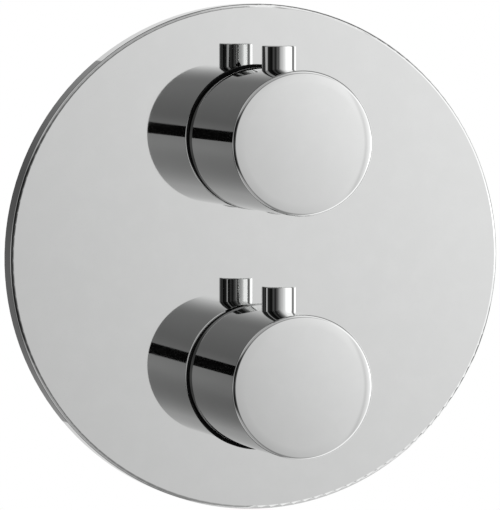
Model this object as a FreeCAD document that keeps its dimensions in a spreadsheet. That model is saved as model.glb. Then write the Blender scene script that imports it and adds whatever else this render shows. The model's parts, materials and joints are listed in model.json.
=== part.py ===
"""Concealed thermostatic shower valve with a round cover plate and two knobs.

Millimetres. The origin is the centre of the cover plate's back face, which lies on the finished wall.
+Z is up, -Y points out of the wall to the user, +Y points into it. A station is a place along Y.
The upper valve mixes hot and cold water to the set temperature, the lower one sets the flow.
"""
import FreeCAD, Part
import math
import os
import types

import Sketcher

DIMENSIONS = {
    # cover plate
    "plate_diameter": 180.0,
    "plate_depth": 9.5,
    "plate_wall": 2.0,
    "plate_edge_round": 1.2,
    "rim_wall": 2.5,
    "rim_ledge": 4.5,
    "rim_lip": 3.0,
    "knob_spacing": 84.4,
    "collar_wall": 5.0,
    "collar_length": 6.0,
    "ring_width": 2.2,
    "ring_depth": 1.8,
    "face_ring_diameter": 51.5,
    "face_ring_thickness": 1.5,
    "face_ring_shift": 0.6,
    # knobs and pegs
    "knob_diameter": 50.5,
    "knob_length": 56.9,
    "knob_gap": 2.0,
    "knob_wall": 2.4,
    "knob_face_wall": 3.7,
    "knob_centre_diameter": 1.0,
    "knob_crown_diameter": 42.0,
    "knob_crown_height": 0.4,
    "knob_roll_height": 0.3,
    "knob_edge_round": 1.2,
    "knob_rear_bevel": 0.3,
    "knob_band_length": 2.3,
    "knob_band_flare": 0.25,
    "knob_line_width": 0.35,
    "knob_line_depth": 0.25,
    "hub_diameter": 26.4,
    "hub_length": 34.7,
    "adaptor_diameter": 18.0,
    "adaptor_length": 24.0,
    "adaptor_recess": 1.0,
    "peg_diameter": 12.0,
    "peg_height": 8.1,
    "peg_seat": 1.05,
    "peg_edge_round": 0.35,
    "peg_station": 27.8,
    "peg_stem_diameter": 6.0,
    "peg_stem_bite": 2.4,
    "grub_diameter": 5.0,
    "grub_length": 4.1,
    "grub_offset": 6.1,
    "grub_key": 2.5,
    "grub_access": 5.4,
    # spline between spindle and knob
    "spline_diameter": 8.0,
    "spline_depth": 0.6,
    "spline_teeth": 20,
    "spline_play": 0.05,
    "spline_end_play": 0.5,
    "adaptor_floor": 3.0,
    "spindle_diameter": 9.9,
    "running_play": 0.05,
    "clip_thickness": 0.9,
    "clip_bite": 0.8,
    "clip_reach": 2.6,
    "spindle_ring_width": 2.0,
    "spindle_ring_depth": 1.0,
    # safety button in the temperature knob
    "button_diameter": 9.3,
    "button_play": 0.1,
    "button_proud": 0.5,
    "button_dome_height": 0.9,
    "button_centre_diameter": 2.0,
    "button_height": 2.55,
    "button_travel": 1.5,
    "button_stem_diameter": 4.0,
    "button_boss_diameter": 14.4,
    "button_boss_depth": 5.65,
    "catch_diameter": 6.8,
    "catch_height": 2.2,
    "catch_play": 0.3,
    "button_spring_wire": 0.4,
    "button_spring_diameter": 6.9,
    # valve body
    "mouth_station": -4.0,
    "spigot_diameter": 39.6,
    "spigot_length": 12.0,
    "chamber_diameter": 46.0,
    "chamber_bevel": 0.8,
    "casting_round": 2.0,
    "body_back": 80.0,
    "arm_station": 45.0,
    "arm_reach": 54.0,
    "arm_diameter": 26.0,
    "arm_bevel": 1.0,
    "outlet_reach": 37.8,
    "thread_radius": 9.315,
    "thread_length": 12.0,
    "strainer_seat_diameter": 18.0,
    "strainer_seat_length": 3.0,
    "check_bore_diameter": 16.0,
    "check_bore_end": 22.5,
    "port_diameter": 7.2,
    "port_shift": 5.0,
    "duct_diameter": 11.0,
    "duct_station": 69.0,
    "duct_plug_diameter": 15.0,
    "duct_plug_length": 8.0,
    "duct_plug_recess": 1.0,
    "duct_plug_key": 8.0,
    "waist_width": 30.0,
    "waist_front": 30.0,
    "waist_step": 2.5,
    "waist_round": 4.0,
    "lug_spacing": 76.0,
    "lug_hole_diameter": 6.0,
    "lug_width": 18.0,
    "lug_thickness": 8.0,
    # sleeves
    "sleeve_diameter": 44.0,
    "sleeve_play": 0.1,
    "sleeve_length": 24.0,
    "sleeve_bevel": 0.5,
    # thermostatic cartridge
    "lock_thread_diameter": 35.8,
    "lock_bore_play": 0.2,
    "lock_front": 2.0,
    "flange_thickness": 3.0,
    "flange_seat": 14.0,
    "housing_diameter": 33.8,
    "chamber_play": 0.1,
    "housing_bore_diameter": 28.0,
    "housing_end": 58.0,
    "chamber_end": 60.0,
    "head_diameter": 29.6,
    "head_front": -16.0,
    "head_wall": 6.0,
    "guide_diameter": 22.6,
    "guide_end": 28.0,
    "guide_rib_lead": 3.0,
    "guide_rib_width": 3.0,
    "guide_rib_height": 1.5,
    "window_length": 6.8,
    "window_width": 10.5,
    "window_count": 6,
    "annulus_diameter": 38.8,
    "seal_width": 2.0,
    "seal_depth": 1.5,
    "front_seal_station": 22.0,
    "rear_seal_station": 56.0,
    "nose_spigot": 1.0,
    "nose_bore_diameter": 13.6,
    "mix_bore_diameter": 22.0,
    "collar_diameter": 16.0,
    "collar_thickness": 2.8,
    "screw_diameter": 12.0,
    "screw_end": 9.0,
    "nut_room": 7.5,
    "nut_length": 23.7,
    "nut_thread_length": 10.0,
    "nut_cup_diameter": 16.4,
    "overload_spring_wire": 1.2,
    "overload_spring_play": 0.4,
    "pusher_station": 19.0,
    "pusher_thickness": 2.5,
    "pusher_play": 0.2,
    "pusher_boss_diameter": 6.0,
    "piston_diameter": 3.0,
    "piston_start": 24.0,
    "piston_end": 29.0,
    "wax_head_diameter": 14.0,
    "wax_head_end": 34.0,
    "wax_bulb_diameter": 10.9,
    "wax_bulb_end": 60.0,
    "wax_bulb_round": 1.5,
    "wax_flange_diameter": 14.8,
    "wax_flange_thickness": 2.5,
    "shuttle_opening": 1.3,
    "shuttle_wall": 2.8,
    "shuttle_web": 3.0,
    "shuttle_hole_diameter": 3.0,
    "shuttle_hole_circle": 18.8,
    "return_spring_wire": 1.4,
    "return_spring_diameter": 18.0,
    # stop ring on the thermostatic cartridge's head
    "stop_ring_seat": 9.0,
    "stop_ring_diameter": 34.8,
    "stop_ring_inner": 30.8,
    "stop_ring_front": -31.0,
    "stop_tooth_width": 1.0,
    "stop_tooth_outer": 18.7,
    "stop_tooth_inner": 18.0,
    "stop_tooth_root": 16.5,
    "stop_tooth_base": 4.0,
    "stop_tooth_play": 0.3,
    # flow cartridge
    "flow_head_diameter": 18.8,
    "flow_hex_width": 27.0,
    "flow_hex_height": 6.0,
    "flow_thread_diameter": 27.0,
    "flow_thread_end": 14.0,
    "flow_seal_thickness": 1.0,
    "flow_shell_diameter": 24.8,
    "flow_shell_bore": 20.4,
    "flow_shell_end": 50.0,
    "flow_cavity_diameter": 32.0,
    "flow_cavity_end": 52.0,
    "flow_seat_diameter": 13.0,
    "flow_collar_diameter": 15.2,
    "flow_collar_play": 0.2,
    "flow_collar_start": -8.0,
    "flow_collar_length": 10.0,
    "flow_shaft_diameter": 10.8,
    "flow_stop_start": 16.0,
    "flow_stop_length": 4.0,
    "flow_stop_reach": 9.4,
    "flow_stop_width": 4.0,
    "flow_rib_reach": 8.0,
    "flow_rib_width": 2.3,
    "flow_stop_play": 0.5,
    "flow_window_start": 24.0,
    "flow_window_length": 9.0,
    "flow_window_width": 9.0,
    "disc_diameter": 19.8,
    "disc_thickness": 4.0,
    "disc_station": 43.0,
    "disc_opening_inner": 3.0,
    "disc_opening_outer": 7.2,
    "disc_opening_slope": 0.62,
    "driver_width": 4.0,
    "driver_length": 16.0,
    "driver_start": 35.0,
    "driver_slot_depth": 1.5,
    # check valves and strainers in the inlets
    "strainer_thickness": 1.0,
    "strainer_cup_diameter": 13.6,
    "strainer_cup_depth": 2.0,
    "strainer_mesh_hole": 1.6,
    "strainer_inner_circle": 5.8,
    "strainer_outer_circle": 10.2,
    "check_seat_diameter": 9.2,
    "check_seat_length": 3.0,
    "check_room_diameter": 12.8,
    "check_guide_length": 2.0,
    "check_passage_diameter": 3.0,
    "check_passage_circle": 8.5,
    "check_end_play": 0.3,
    "poppet_diameter": 11.2,
    "poppet_thickness": 1.8,
    "poppet_stem_diameter": 3.0,
    "poppet_stem_end": 2.8,
    "check_spring_wire": 0.6,
    "check_spring_diameter": 7.2,
    # gasket behind the rim
    "gasket_width": 3.8,
    "gasket_thickness": 2.8,
}

# how far a cut runs past a face, or a pad into the piece that it joins
PAST = 1.0

doc = FreeCAD.newDocument("thermostatic_shower_valve")
sheet = doc.addObject("Spreadsheet::Sheet", "sizes")


class Size:
    """A length that carries its number and the sheet expression that gives it."""

    def __init__(self, number, text):
        self.number = float(number)
        self.text = text

    def join(self, sign, other, swap=False):
        """The size that comes from this one and another by one of + - * /."""
        other = as_size(other)
        a, b = (other, self) if swap else (self, other)
        number = {"+": a.number + b.number, "-": a.number - b.number, "*": a.number * b.number}.get(sign)
        if sign == "/":
            number = a.number / b.number
        return Size(number, f"({a.text} {sign} {b.text})")

    def __add__(self, other):
        return self.join("+", other)

    def __radd__(self, other):
        return self.join("+", other, swap=True)

    def __sub__(self, other):
        return self.join("-", other)

    def __rsub__(self, other):
        return self.join("-", other, swap=True)

    def __mul__(self, other):
        return self.join("*", other)

    def __rmul__(self, other):
        return self.join("*", other, swap=True)

    def __truediv__(self, other):
        return self.join("/", other)

    def __neg__(self):
        return Size(-self.number, f"(0 - {self.text})")


def as_size(value):
    """A plain number as a size; a size stays as it is."""
    return value if isinstance(value, Size) else Size(value, repr(value))


def fill_sheet():
    """Writes the driving dimensions into the sheet and gives them back as sizes."""
    sizes = {}
    for row, (name, number) in enumerate(DIMENSIONS.items(), start=1):
        sheet.set(f"A{row}", name)
        sheet.set(f"B{row}", str(number))
        sheet.setAlias(f"B{row}", name)
        sizes[name] = Size(number, f"sizes.{name}")
    doc.recompute()
    return types.SimpleNamespace(**sizes)


d = fill_sheet()


# ---------------------------------------------------------------- drawing helpers

def bind(target, path, value):
    """Ties a property to the sheet."""
    target.setExpression(path, as_size(value).text)


def new_body(name, x=0, y=0, z=0):
    """A body of that name, placed at x, y, z."""
    body = doc.addObject("PartDesign::Body", name)
    body.Label = name
    for axis, value in (("x", x), ("y", y), ("z", z)):
        if as_size(value).number:
            bind(body, f"Placement.Base.{axis}", value)
    return body


def origin_feature(body, role):
    """One of the body's own origin planes or axes."""
    return next(item for item in body.Origin.OriginFeatures if item.Role == role)


def new_sketch(body, plane, offset=0):
    """A sketch on one of the body's origin planes, moved along the plane's normal."""
    sketch = body.newObject("Sketcher::SketchObject", "Sketch")
    sketch.AttachmentSupport = [(origin_feature(body, plane), "")]
    sketch.MapMode = "FlatFace"
    bind(sketch, "AttachmentOffset.Base.z", offset)
    return sketch


def pin_point(sketch, geometry, end, u, v):
    """Ties a point of the sketch to its two coordinates."""
    for kind, axis_line, value in (("DistanceX", -2, as_size(u)), ("DistanceY", -1, as_size(v))):
        if value.number == 0:
            sketch.addConstraint(Sketcher.Constraint("PointOnObject", geometry, end, axis_line))
            continue
        index = sketch.addConstraint(Sketcher.Constraint(kind, -1, 1, geometry, end, value.number))
        bind(sketch, f"Constraints[{index}]", value)


def arc_from(start, end, heading):
    """The arc that leaves start along a heading and ends at end, and its heading there."""
    chord = end - start
    inward = FreeCAD.Vector(-heading.y, heading.x, 0)
    radius = chord.dot(chord) / (2 * chord.dot(inward))
    centre = start + inward * radius
    middle = centre + ((start - centre) + (end - centre)).normalize() * radius
    spoke = (end - centre) / radius
    return Part.Arc(start, middle, end), FreeCAD.Vector(-spoke.y, spoke.x, 0)


def draw_outline(sketch, points, arcs=0):
    """A closed outline through the points. Its arcs follow the first line, each tangent to the one before."""
    corners = [FreeCAD.Vector(as_size(u).number, as_size(v).number, 0) for u, v in points]
    first = sketch.GeometryCount
    count = len(corners)
    heading = (corners[1] - corners[0]).normalize()
    for i in range(count):
        start, end = corners[i], corners[(i + 1) % count]
        if 0 < i <= arcs:
            line, heading = arc_from(start, end, heading)
        else:
            line = Part.LineSegment(start, end)
        sketch.addGeometry(line)
    for i in range(count):
        following = (i + 1) % count
        kind = "Tangent" if 0 < following <= arcs else "Coincident"
        sketch.addConstraint(Sketcher.Constraint(kind, first + i, 2, first + following, 1))
    for i, (u, v) in enumerate(points):
        pin_point(sketch, first + i, 1, u, v)


def hexagon(across):
    """The corners of a hexagon of that width across its flats."""
    half = as_size(across) / 2
    side = half * (2 / math.sqrt(3))
    return [(side, 0), (side / 2, half), (-side / 2, half), (-side, 0), (-side / 2, -half), (side / 2, -half)]


def draw_circle(sketch, u, v, radius):
    """A circle with its centre and radius tied to the sheet."""
    centre = FreeCAD.Vector(as_size(u).number, as_size(v).number, 0)
    index = sketch.addGeometry(Part.Circle(centre, FreeCAD.Vector(0, 0, 1), as_size(radius).number))
    pin_point(sketch, index, 3, u, v)
    constraint = sketch.addConstraint(Sketcher.Constraint("Radius", index, as_size(radius).number))
    bind(sketch, f"Constraints[{constraint}]", radius)


TURN_PLANES = {"x": ("XY_Plane", "H_Axis"), "y": ("XY_Plane", "V_Axis"), "z": ("XZ_Plane", "V_Axis")}
NORMAL_PLANES = {"x": ("YZ_Plane", 1), "y": ("XZ_Plane", -1), "z": ("XY_Plane", 1)}


def turn(body, points, about="y", cut=False, arcs=0):
    """Turns a section about an axis. Points are (radius, station), or (station, radius) about x."""
    plane, axis = TURN_PLANES[about]
    sketch = new_sketch(body, plane)
    draw_outline(sketch, points, arcs)
    feature = body.newObject("PartDesign::Groove" if cut else "PartDesign::Revolution", "Turned")
    feature.Profile = sketch
    feature.ReferenceAxis = (sketch, [axis])
    feature.Angle = 360
    return feature


def ring_section(inner, outer, start, end):
    """The rectangular section of a ring, as radius and station."""
    return [(inner, start), (outer, start), (outer, end), (inner, end)]


def extrude(body, along, start, end, draw, cut=False):
    """Draws in the plane square to an axis and pads or pockets from start to end along it."""
    plane, sign = NORMAL_PLANES[along]
    sketch = new_sketch(body, plane, as_size(start) * sign)
    draw(sketch)
    feature = body.newObject("PartDesign::Pocket" if cut else "PartDesign::Pad", "Extruded")
    feature.Profile = sketch
    feature.Reversed = (sign < 0) != cut
    bind(feature, "Length", as_size(end) - start)
    return feature


def rod(body, along, start, end, radius, u=0, v=0, cut=False):
    """A round pad or hole along an axis, with its centre at u, v."""
    return extrude(body, along, start, end, lambda sketch: draw_circle(sketch, u, v, radius), cut)


def block(body, along, start, end, corners, cut=False):
    """A pad or pocket with a straight-sided outline along an axis."""
    return extrude(body, along, start, end, lambda sketch: draw_outline(sketch, corners), cut)


def rectangle(u_low, u_high, v_low, v_high):
    """The corners of a rectangle."""
    return [(u_low, v_low), (u_high, v_low), (u_high, v_high), (u_low, v_high)]


def repeat_round(body, feature, count, about="Y_Axis"):
    """Repeats a feature evenly about an axis of the body."""
    pattern = body.newObject("PartDesign::PolarPattern", "Repeated")
    pattern.Originals = [feature]
    pattern.Axis = (origin_feature(body, about), [""])
    pattern.Angle = 360
    if isinstance(count, Size):
        bind(pattern, "Occurrences", count)
    else:
        pattern.Occurrences = count
    body.Tip = pattern
    return pattern


def circles_at(shape, radius, station, axis="y"):
    """Names of the shape's round edges of that radius at that station."""
    names = []
    for number, edge in enumerate(shape.Edges, start=1):
        if edge.Degenerated or not isinstance(edge.Curve, Part.Circle):
            continue
        curve = edge.Curve
        same_radius = abs(curve.Radius - as_size(radius).number) < 1e-4
        same_place = abs(getattr(curve.Center, axis) - as_size(station).number) < 1e-4
        if same_radius and same_place:
            names.append(f"Edge{number}")
    return names


def soften(body, kind, amount, rims, axis="y"):
    """Rounds or bevels the named rims, each a radius and a station in the body's own frame."""
    doc.recompute()
    base = body.Tip
    names = []
    for radius, station in rims:
        found = circles_at(base.Shape, radius, station, axis)
        if not found:
            raise ValueError(f"{body.Label}: no round edge of radius {radius.number} at {station.number}")
        names += found
    feature = body.newObject(f"PartDesign::{kind}", kind)
    feature.Base = (base, names)
    bind(feature, "Radius" if kind == "Fillet" else "Size", amount)
    return feature


def coil(body, mean_radius, wire, start, end, turns, about="y"):
    """A coil spring of square wire about an axis, between two stations."""
    half = as_size(wire) / 2
    low = start + half
    plane, axis = TURN_PLANES[about]
    sketch = new_sketch(body, plane)
    near, far = mean_radius - half, mean_radius + half
    if about == "x":
        draw_outline(sketch, [(start, near), (start, far), (start + wire, far), (start + wire, near)])
    else:
        draw_outline(sketch, ring_section(near, far, start, start + wire))
    helix = body.newObject("PartDesign::AdditiveHelix", "Coil")
    helix.Profile = sketch
    helix.ReferenceAxis = (sketch, [axis])
    helix.Mode = "height-turns-angle"
    bind(helix, "Height", end - half - low)
    helix.Turns = turns
    return helix


# ---------------------------------------------------------------- places worked out from the sizes

plate_front = -d.plate_depth
plate_radius = d.plate_diameter / 2
knob_radius = d.knob_diameter / 2
knob_rear = plate_front - d.knob_gap
knob_front = knob_rear - d.knob_length
knob_corner = knob_front + d.knob_crown_height + d.knob_roll_height
knob_inner = knob_radius - d.knob_wall
band_front = knob_rear - d.knob_band_length
band_radius = knob_radius + d.knob_band_flare
hub_front = knob_front + d.knob_face_wall
hub_rear = hub_front + d.hub_length
peg_station = plate_front - d.peg_station
adaptor_rear = hub_rear - d.adaptor_recess
adaptor_front = adaptor_rear - d.adaptor_length
grub_station = adaptor_front + d.grub_offset
upper_axis = d.knob_spacing / 2
lower_axis = -upper_axis
sleeve_radius = d.sleeve_diameter / 2
spigot_end = d.mouth_station + d.spigot_length
sleeve_front = spigot_end - d.sleeve_length
spline_front = adaptor_front + d.adaptor_floor
spline_rear = adaptor_rear + d.spline_end_play
spline_tip = d.spline_diameter / 2
spline_root = spline_tip - d.spline_depth
spindle_radius = d.spindle_diameter / 2
clip_front = d.head_front - d.clip_thickness
head_radius = d.head_diameter / 2
head_inner = d.head_front + d.head_wall
collar_front = plate_front + d.plate_wall
flange_front = d.flange_seat - d.flange_thickness
housing_radius = d.housing_diameter / 2
housing_bore = d.housing_bore_diameter / 2
cold_station = d.arm_station - d.port_shift
hot_station = d.arm_station + d.port_shift
shuttle_front = cold_station - d.window_length / 2 + d.shuttle_opening
shuttle_rear = hot_station + d.window_length / 2 - d.shuttle_opening
web_front = d.arm_station - d.shuttle_web / 2
web_rear = d.arm_station + d.shuttle_web / 2
nose_front = d.housing_end - d.nose_spigot
nut_front = head_inner + d.collar_thickness + d.nut_room
nut_rear = nut_front + d.nut_length
nut_ledge = nut_front + d.nut_thread_length
button_top = knob_radius + d.button_proud
button_bottom = button_top - d.button_height
button_floor = button_bottom - d.button_travel - d.button_spring_wire * 2
catch_top = knob_radius - d.button_boss_depth - d.catch_play
thread_end = d.arm_reach - d.thread_length
check_outer = thread_end - d.strainer_seat_length


# ---------------------------------------------------------------- cover plate, rings and sleeves

def make_cover_plate():
    """Shallow turned pan with two collars behind its holes, each with a groove for a rubber ring."""
    body = new_body("cover_plate")
    rim_inner = plate_radius - d.rim_wall
    ledge_inner = rim_inner - d.rim_ledge
    turn(body, [(0, plate_front), (plate_radius, plate_front), (plate_radius, 0), (rim_inner, 0),
                (rim_inner, -d.rim_lip), (ledge_inner, -d.rim_lip), (ledge_inner, collar_front),
                (0, collar_front)])
    soften(body, "Fillet", d.plate_edge_round, [(plate_radius, plate_front)])
    hole = sleeve_radius + d.sleeve_play
    groove = hole + d.ring_depth
    collar_rear = collar_front + d.collar_length
    groove_front = collar_front + (d.collar_length - d.ring_width) / 2
    for axis in (upper_axis, lower_axis):
        rod(body, "y", collar_front - d.plate_wall / 2, collar_rear, hole + d.collar_wall, 0, axis)
        rod(body, "y", plate_front, collar_rear, hole, 0, axis, cut=True)
        rod(body, "y", groove_front, groove_front + d.ring_width, groove, 0, axis, cut=True)
    return body


def make_plate_gasket():
    """Foam ring in the corner behind the rim."""
    body = new_body("plate_gasket")
    outer = plate_radius - d.rim_wall
    turn(body, ring_section(outer - d.gasket_width, outer, -d.rim_lip, -d.rim_lip + d.gasket_thickness))


def make_collar_ring(name, axis):
    """Rubber ring in the plate's collar that grips the sleeve."""
    body = new_body(name, z=axis)
    groove_front = collar_front + (d.collar_length - d.ring_width) / 2
    outer = sleeve_radius + d.sleeve_play + d.ring_depth
    turn(body, ring_section(sleeve_radius, outer, groove_front, groove_front + d.ring_width))


def make_face_ring(name, axis, shift):
    """Black ring that lies on the plate's face round the sleeve, a little off the knob's axis."""
    body = new_body(name, z=axis)
    front = plate_front - d.face_ring_thickness
    rod(body, "y", front, plate_front, d.face_ring_diameter / 2, 0, shift)
    rod(body, "y", front, plate_front, sleeve_radius + d.sleeve_play, cut=True)


def make_sleeve(name, axis):
    """Tube screwed onto the body's spigot; it passes through the plate into the knob."""
    body = new_body(name, z=axis)
    inner = d.spigot_diameter / 2 + d.sleeve_play / 2
    turn(body, ring_section(inner, sleeve_radius, sleeve_front, spigot_end))
    soften(body, "Chamfer", d.sleeve_bevel, [(sleeve_radius, sleeve_front)])


# ---------------------------------------------------------------- knobs

def make_knob_shell(name, axis):
    """Turned cup with a crowned face, a rear band cut off by a fine line, and a hub bored for the adaptor."""
    body = new_body(name, z=axis)
    hub = d.hub_diameter / 2
    bore = d.adaptor_diameter / 2
    line_front = band_front - d.knob_line_width
    line_middle = band_front - d.knob_line_width / 2
    turn(body, [(0, knob_front), (d.knob_centre_diameter / 2, knob_front),
                (d.knob_crown_diameter / 2, knob_front + d.knob_crown_height), (knob_radius, knob_corner),
                (knob_radius, line_front), (knob_radius - d.knob_line_depth, line_middle),
                (knob_radius, band_front), (band_radius, knob_rear), (knob_inner, knob_rear),
                (knob_inner, hub_front), (hub, hub_front), (hub, hub_rear), (bore, hub_rear),
                (bore, adaptor_front), (0, adaptor_front)], arcs=2)
    soften(body, "Fillet", d.knob_edge_round, [(knob_radius, knob_corner)])
    soften(body, "Chamfer", d.knob_rear_bevel, [(band_radius, knob_rear)])
    rod(body, "z", knob_radius - d.peg_seat, knob_radius + PAST, d.peg_diameter / 2, 0, peg_station, cut=True)
    rod(body, "z", hub - d.peg_stem_bite, knob_radius, d.peg_stem_diameter / 2, 0, peg_station, cut=True)
    rod(body, "z", -hub - PAST, -bore, d.grub_diameter / 2, 0, grub_station, cut=True)
    rod(body, "z", -knob_radius - PAST, -knob_inner + PAST, d.grub_access / 2, 0, grub_station, cut=True)
    return body


def make_temperature_knob():
    """Knob with a boss inside for the safety button, opposite its peg."""
    body = make_knob_shell("temperature_knob", upper_axis)
    inside = knob_radius - d.button_boss_depth
    rod(body, "z", -knob_inner - d.knob_wall / 2, -inside, d.button_boss_diameter / 2, 0, peg_station)
    cap = d.button_diameter / 2 + d.button_play
    rod(body, "z", -knob_radius - PAST, -button_floor, cap, 0, peg_station, cut=True)
    stem = d.button_stem_diameter / 2 + d.button_play
    rod(body, "z", -button_floor - PAST, -inside + PAST, stem, 0, peg_station, cut=True)


def make_peg(name, axis):
    """Round pin in its seat on top of the knob, with a stem screwed into the hub."""
    body = new_body(name, y=peg_station, z=axis)
    foot = knob_radius - d.peg_seat
    top = knob_radius + d.peg_height
    stem = d.peg_stem_diameter / 2
    stem_end = d.hub_diameter / 2 - d.peg_stem_bite
    turn(body, [(0, stem_end), (stem, stem_end), (stem, foot), (d.peg_diameter / 2, foot),
                (d.peg_diameter / 2, top), (0, top)], about="z")
    soften(body, "Fillet", d.peg_edge_round, [(d.peg_diameter / 2, top)], axis="z")


def make_spline_adaptor(name, axis):
    """Insert in the hub, splined inside to sit on the spindle."""
    body = new_body(name, z=axis)
    outer = d.adaptor_diameter / 2
    inner = spline_root + d.spline_play
    bore_end = spline_front - d.spline_end_play
    turn(body, [(0, adaptor_front), (outer, adaptor_front), (outer, adaptor_rear), (inner, adaptor_rear),
                (inner, bore_end), (0, bore_end)])
    tip = spline_tip + d.spline_play
    tooth = spline_tooth(inner - d.spline_depth / 2, tip, d.spline_play)
    slot = block(body, "y", bore_end, adaptor_rear, tooth, cut=True)
    repeat_round(body, slot, d.spline_teeth)


def spline_tooth(root, tip, play):
    """The outline of one spline tooth, across and out from the axis, widened by the play."""
    wide = d.spline_diameter / d.spline_teeth * (math.pi / 4) + play
    narrow = d.spline_diameter / d.spline_teeth * (math.pi / 8) + play
    return [(-wide, root), (wide, root), (narrow, tip), (-narrow, tip)]


def make_grub_screw(name, axis):
    """Socket screw that clamps the adaptor in the hub."""
    body = new_body(name, y=grub_station, z=axis)
    tip = d.adaptor_diameter / 2
    head = tip + d.grub_length
    radius = d.grub_diameter / 2
    turn(body, [(0, -head), (radius, -head), (radius, -tip), (0, -tip)], about="z")
    block(body, "z", -head, -head + d.grub_length / 2, hexagon(d.grub_key), cut=True)


# ---------------------------------------------------------------- safety button

def make_safety_button():
    """Domed cap and stem of the button that frees the knob beyond its safety stop."""
    body = new_body("safety_button", y=peg_station, z=upper_axis)
    cap = d.button_diameter / 2
    stem = d.button_stem_diameter / 2
    turn(body, [(0, -button_top), (d.button_centre_diameter / 2, -button_top),
                (cap, -button_top + d.button_dome_height), (cap, -button_bottom), (stem, -button_bottom),
                (stem, -catch_top), (0, -catch_top)], about="z", arcs=1)


def make_safety_catch():
    """Round catch on the stem's inner end, which meets the tooth of the stop ring."""
    body = new_body("safety_catch", y=peg_station, z=upper_axis)
    radius = d.catch_diameter / 2
    base = -catch_top + d.catch_height
    turn(body, [(0, -catch_top), (radius, -catch_top), (radius, base), (0, base)], about="z")


def make_button_spring():
    """Spring that returns the button."""
    body = new_body("safety_button_spring", y=peg_station, z=upper_axis)
    coil(body, d.button_spring_diameter / 2, d.button_spring_wire, -button_bottom, -button_floor, turns=1.5,
         about="z")


def make_stop_ring():
    """Ring on the cartridge's head with the tooth of the safety stop beside the button's catch."""
    body = new_body("stop_ring", z=upper_axis)
    outer = d.stop_ring_diameter / 2
    inner = d.stop_ring_inner / 2
    seat_rear = d.head_front + d.stop_ring_seat
    turn(body, [(head_radius, seat_rear), (outer, seat_rear), (outer, d.stop_ring_front),
                (inner, d.stop_ring_front), (inner, d.head_front), (head_radius, d.head_front)])
    tip_front = peg_station + d.catch_diameter / 2 + d.stop_tooth_play
    left = d.catch_diameter / 2 + d.stop_tooth_play
    block(body, "x", left, left + d.stop_tooth_width,
          [(d.stop_ring_front + d.stop_tooth_base, -d.stop_tooth_root),
           (d.stop_ring_front + d.stop_tooth_base, -d.stop_tooth_outer),
           (tip_front, -d.stop_tooth_outer), (tip_front, -d.stop_tooth_inner),
           (d.stop_ring_front, -d.stop_tooth_inner), (d.stop_ring_front, -d.stop_tooth_root)])


# ---------------------------------------------------------------- spindles

def turn_spindle(name, axis, rear_points):
    """Spindle with a splined end, a clip groove and a ring groove; rear_points go on from its front shaft."""
    body = new_body(name, z=axis)
    groove = spindle_radius - d.clip_bite
    ring_floor = spindle_radius + d.running_play - d.spindle_ring_depth
    ring_front = d.head_front + (d.head_wall - d.spindle_ring_width) / 2
    ring_rear = ring_front + d.spindle_ring_width
    turn(body, [(0, spline_front), (spline_root, spline_front), (spline_root, spline_rear),
                (spindle_radius, spline_rear), (spindle_radius, clip_front), (groove, clip_front),
                (groove, d.head_front), (spindle_radius, d.head_front), (spindle_radius, ring_front),
                (ring_floor, ring_front), (ring_floor, ring_rear), (spindle_radius, ring_rear)] + rear_points)
    tooth = spline_tooth(spline_root - d.spline_depth / 2, spline_tip, 0)
    repeat_round(body, block(body, "y", spline_front, spline_rear, tooth), d.spline_teeth)
    return body


def make_temperature_spindle():
    """Spindle whose screw drives the regulating nut."""
    collar = d.collar_diameter / 2
    screw = d.screw_diameter / 2
    collar_rear = head_inner + d.collar_thickness
    turn_spindle("temperature_spindle", upper_axis, [
        (spindle_radius, head_inner), (collar, head_inner), (collar, collar_rear), (screw, collar_rear),
        (screw, d.screw_end), (0, d.screw_end)])


def make_flow_spindle():
    """Spindle with a stop lug and a tongue that turns the moving disc."""
    collar = d.flow_collar_diameter / 2 - d.flow_collar_play
    shaft = d.flow_shaft_diameter / 2
    collar_rear = d.flow_collar_start + d.flow_collar_length
    body = turn_spindle("flow_spindle", lower_axis, [
        (spindle_radius, d.flow_collar_start), (collar, d.flow_collar_start), (collar, collar_rear),
        (shaft, collar_rear), (shaft, d.driver_start), (0, d.driver_start)])
    half = d.flow_stop_width / 2
    block(body, "y", d.flow_stop_start, d.flow_stop_start + d.flow_stop_length,
          rectangle(0, d.flow_stop_reach, -half, half))
    tongue = d.driver_width / 2
    reach = d.driver_length / 2
    disc_front = d.disc_station - d.disc_thickness
    block(body, "y", d.driver_start, disc_front + d.driver_slot_depth - d.running_play,
          rectangle(-tongue, tongue, -reach, reach))


def make_spindle_clip(name, axis):
    """Snap ring that holds the spindle against the front of its head."""
    body = new_body(name, z=axis)
    inner = spindle_radius - d.clip_bite
    turn(body, ring_section(inner, inner + d.clip_reach, clip_front, d.head_front - d.running_play))


def make_spindle_seal(name, axis):
    """Rubber ring in the spindle's groove."""
    body = new_body(name, z=axis)
    floor = spindle_radius + d.running_play - d.spindle_ring_depth
    front = d.head_front + (d.head_wall - d.spindle_ring_width) / 2
    turn(body, ring_section(floor, spindle_radius + d.running_play / 2, front, front + d.spindle_ring_width))


# ---------------------------------------------------------------- thermostatic cartridge

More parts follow.
